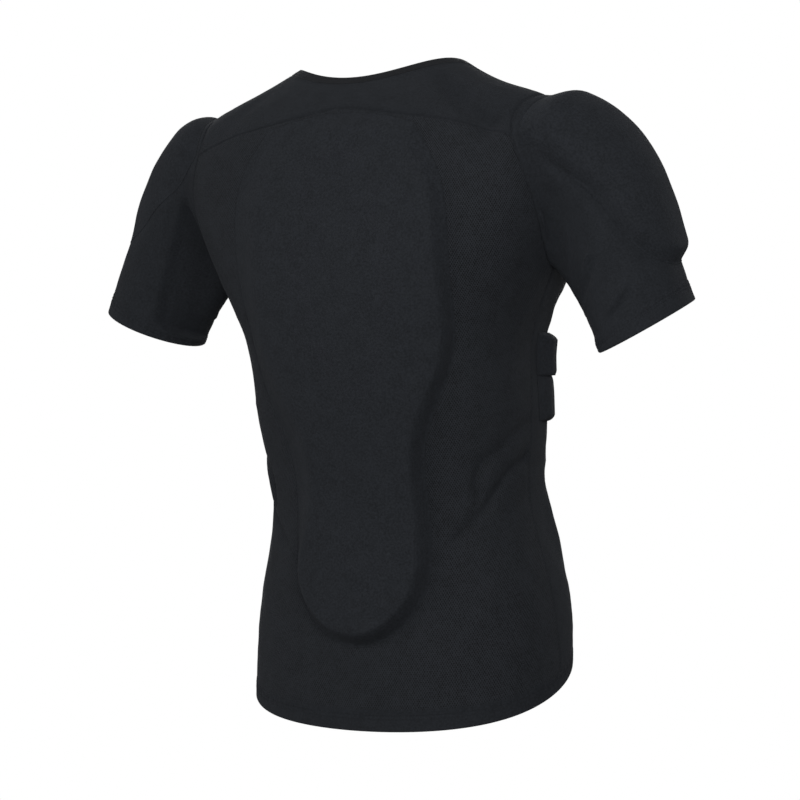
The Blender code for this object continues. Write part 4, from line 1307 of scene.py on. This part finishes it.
for level_name, (foot, top, thick) in RIB_PADS.items():
    rib_height = edge_dense(foot, top, RIB_PAD_ROWS)[:, None]
    into_corner = np.maximum(0, np.abs(rib_height - (foot + top) / 2) - (top - foot) / 2 + RIB_PAD_CORNER)
    cut = (RIB_PAD_CORNER - np.sqrt(np.maximum(0, RIB_PAD_CORNER**2 - into_corner**2))) / BODY_GIRTH
    half_turn = (RIB_PAD_END - RIB_PAD_START) / 2 - cut
    rib_angle = (RIB_PAD_START + RIB_PAD_END) / 2 + half_turn * np.sin(half_swing(RIB_PAD_CELLS))
    rib_angle, rib_height = np.broadcast_arrays(rib_angle, rib_height)
    above_foot, below_top = rib_height - foot, top - rib_height
    outside, between = (above_foot, below_top) if level_name == "lower" else (below_top, above_foot)
    inside = {
        "start": (rib_angle - rib_angle[:, :1]) * BODY_GIRTH,
        "end": (rib_angle[:, -1:] - rib_angle) * BODY_GIRTH,
        "outside": outside,
        "between": between,
    }
    rib_rise = np.ones_like(rib_angle)
    for name, (shoulder, softness, lowest) in RIB_PAD_EDGES.items():
        risen = edge_rise(inside[name], shoulder, RIB_PAD_ROUNDNESS, softness)
        rib_rise = rib_rise * (lowest + (1 - lowest) * risen)
    for side, angle in (("left", rib_angle), ("right", 2 * math.pi - rib_angle)):
        pad_rows.append(add_pad(
            f"rib_pad_cover_{level_name}_{side}", f"rib_pad_{level_name}_{side}",
            body_cloth(angle, rib_height), outward(body_form, angle, rib_height), thick, rib_rise))

# %% [markdown]
# ## Stitching
# Stretch cloth is sewn with short, close stitches. Each is a little bead of thread, long and low, and one
# small shape is repeated along rows that were read off the finished grids, so every stitch lies on its cloth.

# %% Thread
THREAD_NOISE = 900.0
THREAD_COLOURS = ((0.0105, 0.0118, 0.0143, 1.0), (0.0190, 0.0212, 0.0254, 1.0))

thread, thread_tree, thread_shader = start_material("thread")
thread_where = put(thread_tree, "ShaderNodeTexCoord").outputs["Object"]
thread_noise = put(thread_tree, "ShaderNodeTexNoise", {"Vector": thread_where, "Scale": THREAD_NOISE})
thread_ramp = put(thread_tree, "ShaderNodeValToRGB", {"Fac": thread_noise.outputs["Fac"]})
for stop, thread_colour in zip(thread_ramp.color_ramp.elements, THREAD_COLOURS):
    stop.color = thread_colour
fill(thread_tree, thread_shader, {
    "Base Color": thread_ramp.outputs["Color"], "Roughness": 0.75, "Specular IOR Level": 0.2,
})
THREAD = (thread, "binding")
print("finish:", thread.name)

# %% Stitches
STITCH_LENGTH = 0.0026
STITCH_PITCH = 0.0038
STITCH_WIDTH = 0.0007
STITCH_SEGMENTS = 6
STITCH_RINGS = np.array((-0.98, -0.7, 0.0, 0.7, 0.98))
# The two faces that close a ring of six points, turned to the stitch's start and to its end.
START_FACES = np.array(((0, 3, 2, 1), (0, 5, 4, 3)))
END_FACES = np.array(((0, 1, 2, 3), (0, 3, 4, 5)))


def along_row(points, normals, is_ring):
    """Stitch centres, directions and normals at even steps along one row of a grid."""
    if is_ring:
        points, normals = (np.concatenate((x, x[:1])) for x in (points, normals))
    run = distance_along(points[:, None])[:, 0]
    count = max(2, int(run[-1] / STITCH_PITCH))
    at = (np.arange(count) + 0.5) * run[-1] / count

    def read(values, where):
        """Values between the row's points, at distances along it."""
        return np.stack([np.interp(where, run, values[:, i]) for i in range(3)], axis=-1)

    way = unit(read(points, at + STITCH_LENGTH / 3) - read(points, at - STITCH_LENGTH / 3))
    return read(points, at), way, unit(read(normals, at))


def bead_shape():
    """Points and faces of one stitch: rings of an ellipsoid, x along it and radius·sqrt(1 - x²) across."""
    x, turn = np.meshgrid(STITCH_RINGS, full_turn(STITCH_SEGMENTS), indexing="ij")
    radius = np.sqrt(1 - x**2) * STITCH_WIDTH / 2
    points = np.stack((x * STITCH_LENGTH / 2, radius * np.cos(turn), radius * np.sin(turn)), axis=-1)
    last = len(STITCH_RINGS) - 1
    starts, steps = np.arange(last) * STITCH_SEGMENTS, np.arange(STITCH_SEGMENTS)
    ring, place = (number.ravel() for number in np.meshgrid(starts, steps, indexing="ij"))
    near, far = ring + place, ring + (place + 1) % STITCH_SEGMENTS
    sides = np.stack((near, far, far + STITCH_SEGMENTS, near + STITCH_SEGMENTS), axis=-1)
    return points.reshape(-1, 3), np.concatenate((sides, START_FACES, END_FACES + last * STITCH_SEGMENTS))


def sew(name, rows):
    """One object of many stitches, set along each row in its own direction and on its own normal."""
    centre, way, normal = (np.concatenate(x) for x in zip(*(along_row(*row) for row in rows)))
    bead, bead_faces = bead_shape()
    points = centre[:, None] + bead @ np.stack((way, unit(np.cross(normal, way)), normal), axis=1)
    faces = (np.arange(len(centre))[:, None, None] * len(bead) + bead_faces).reshape(-1, 4)
    return add_piece(name, points.reshape(-1, 3), faces, np.zeros((*faces.shape, 2)), THREAD)


print("faces of a stitch:", len(bead_shape()[1]))

# %% Stitching
back_thread = sew("back_stitching", back_rows)
front_thread = sew("front_stitching", front_rows)
hem_thread = sew("hem_stitching", hem_rows)
sew("pad_stitching", pad_rows)
yoke_thread = sew("yoke_stitching", yoke_rows)
sleeve_threads = {
    side: sew(f"sleeve_stitching_{side}", sleeve_rows[side] + cuff_rows[side]) for side in SLEEVES
}
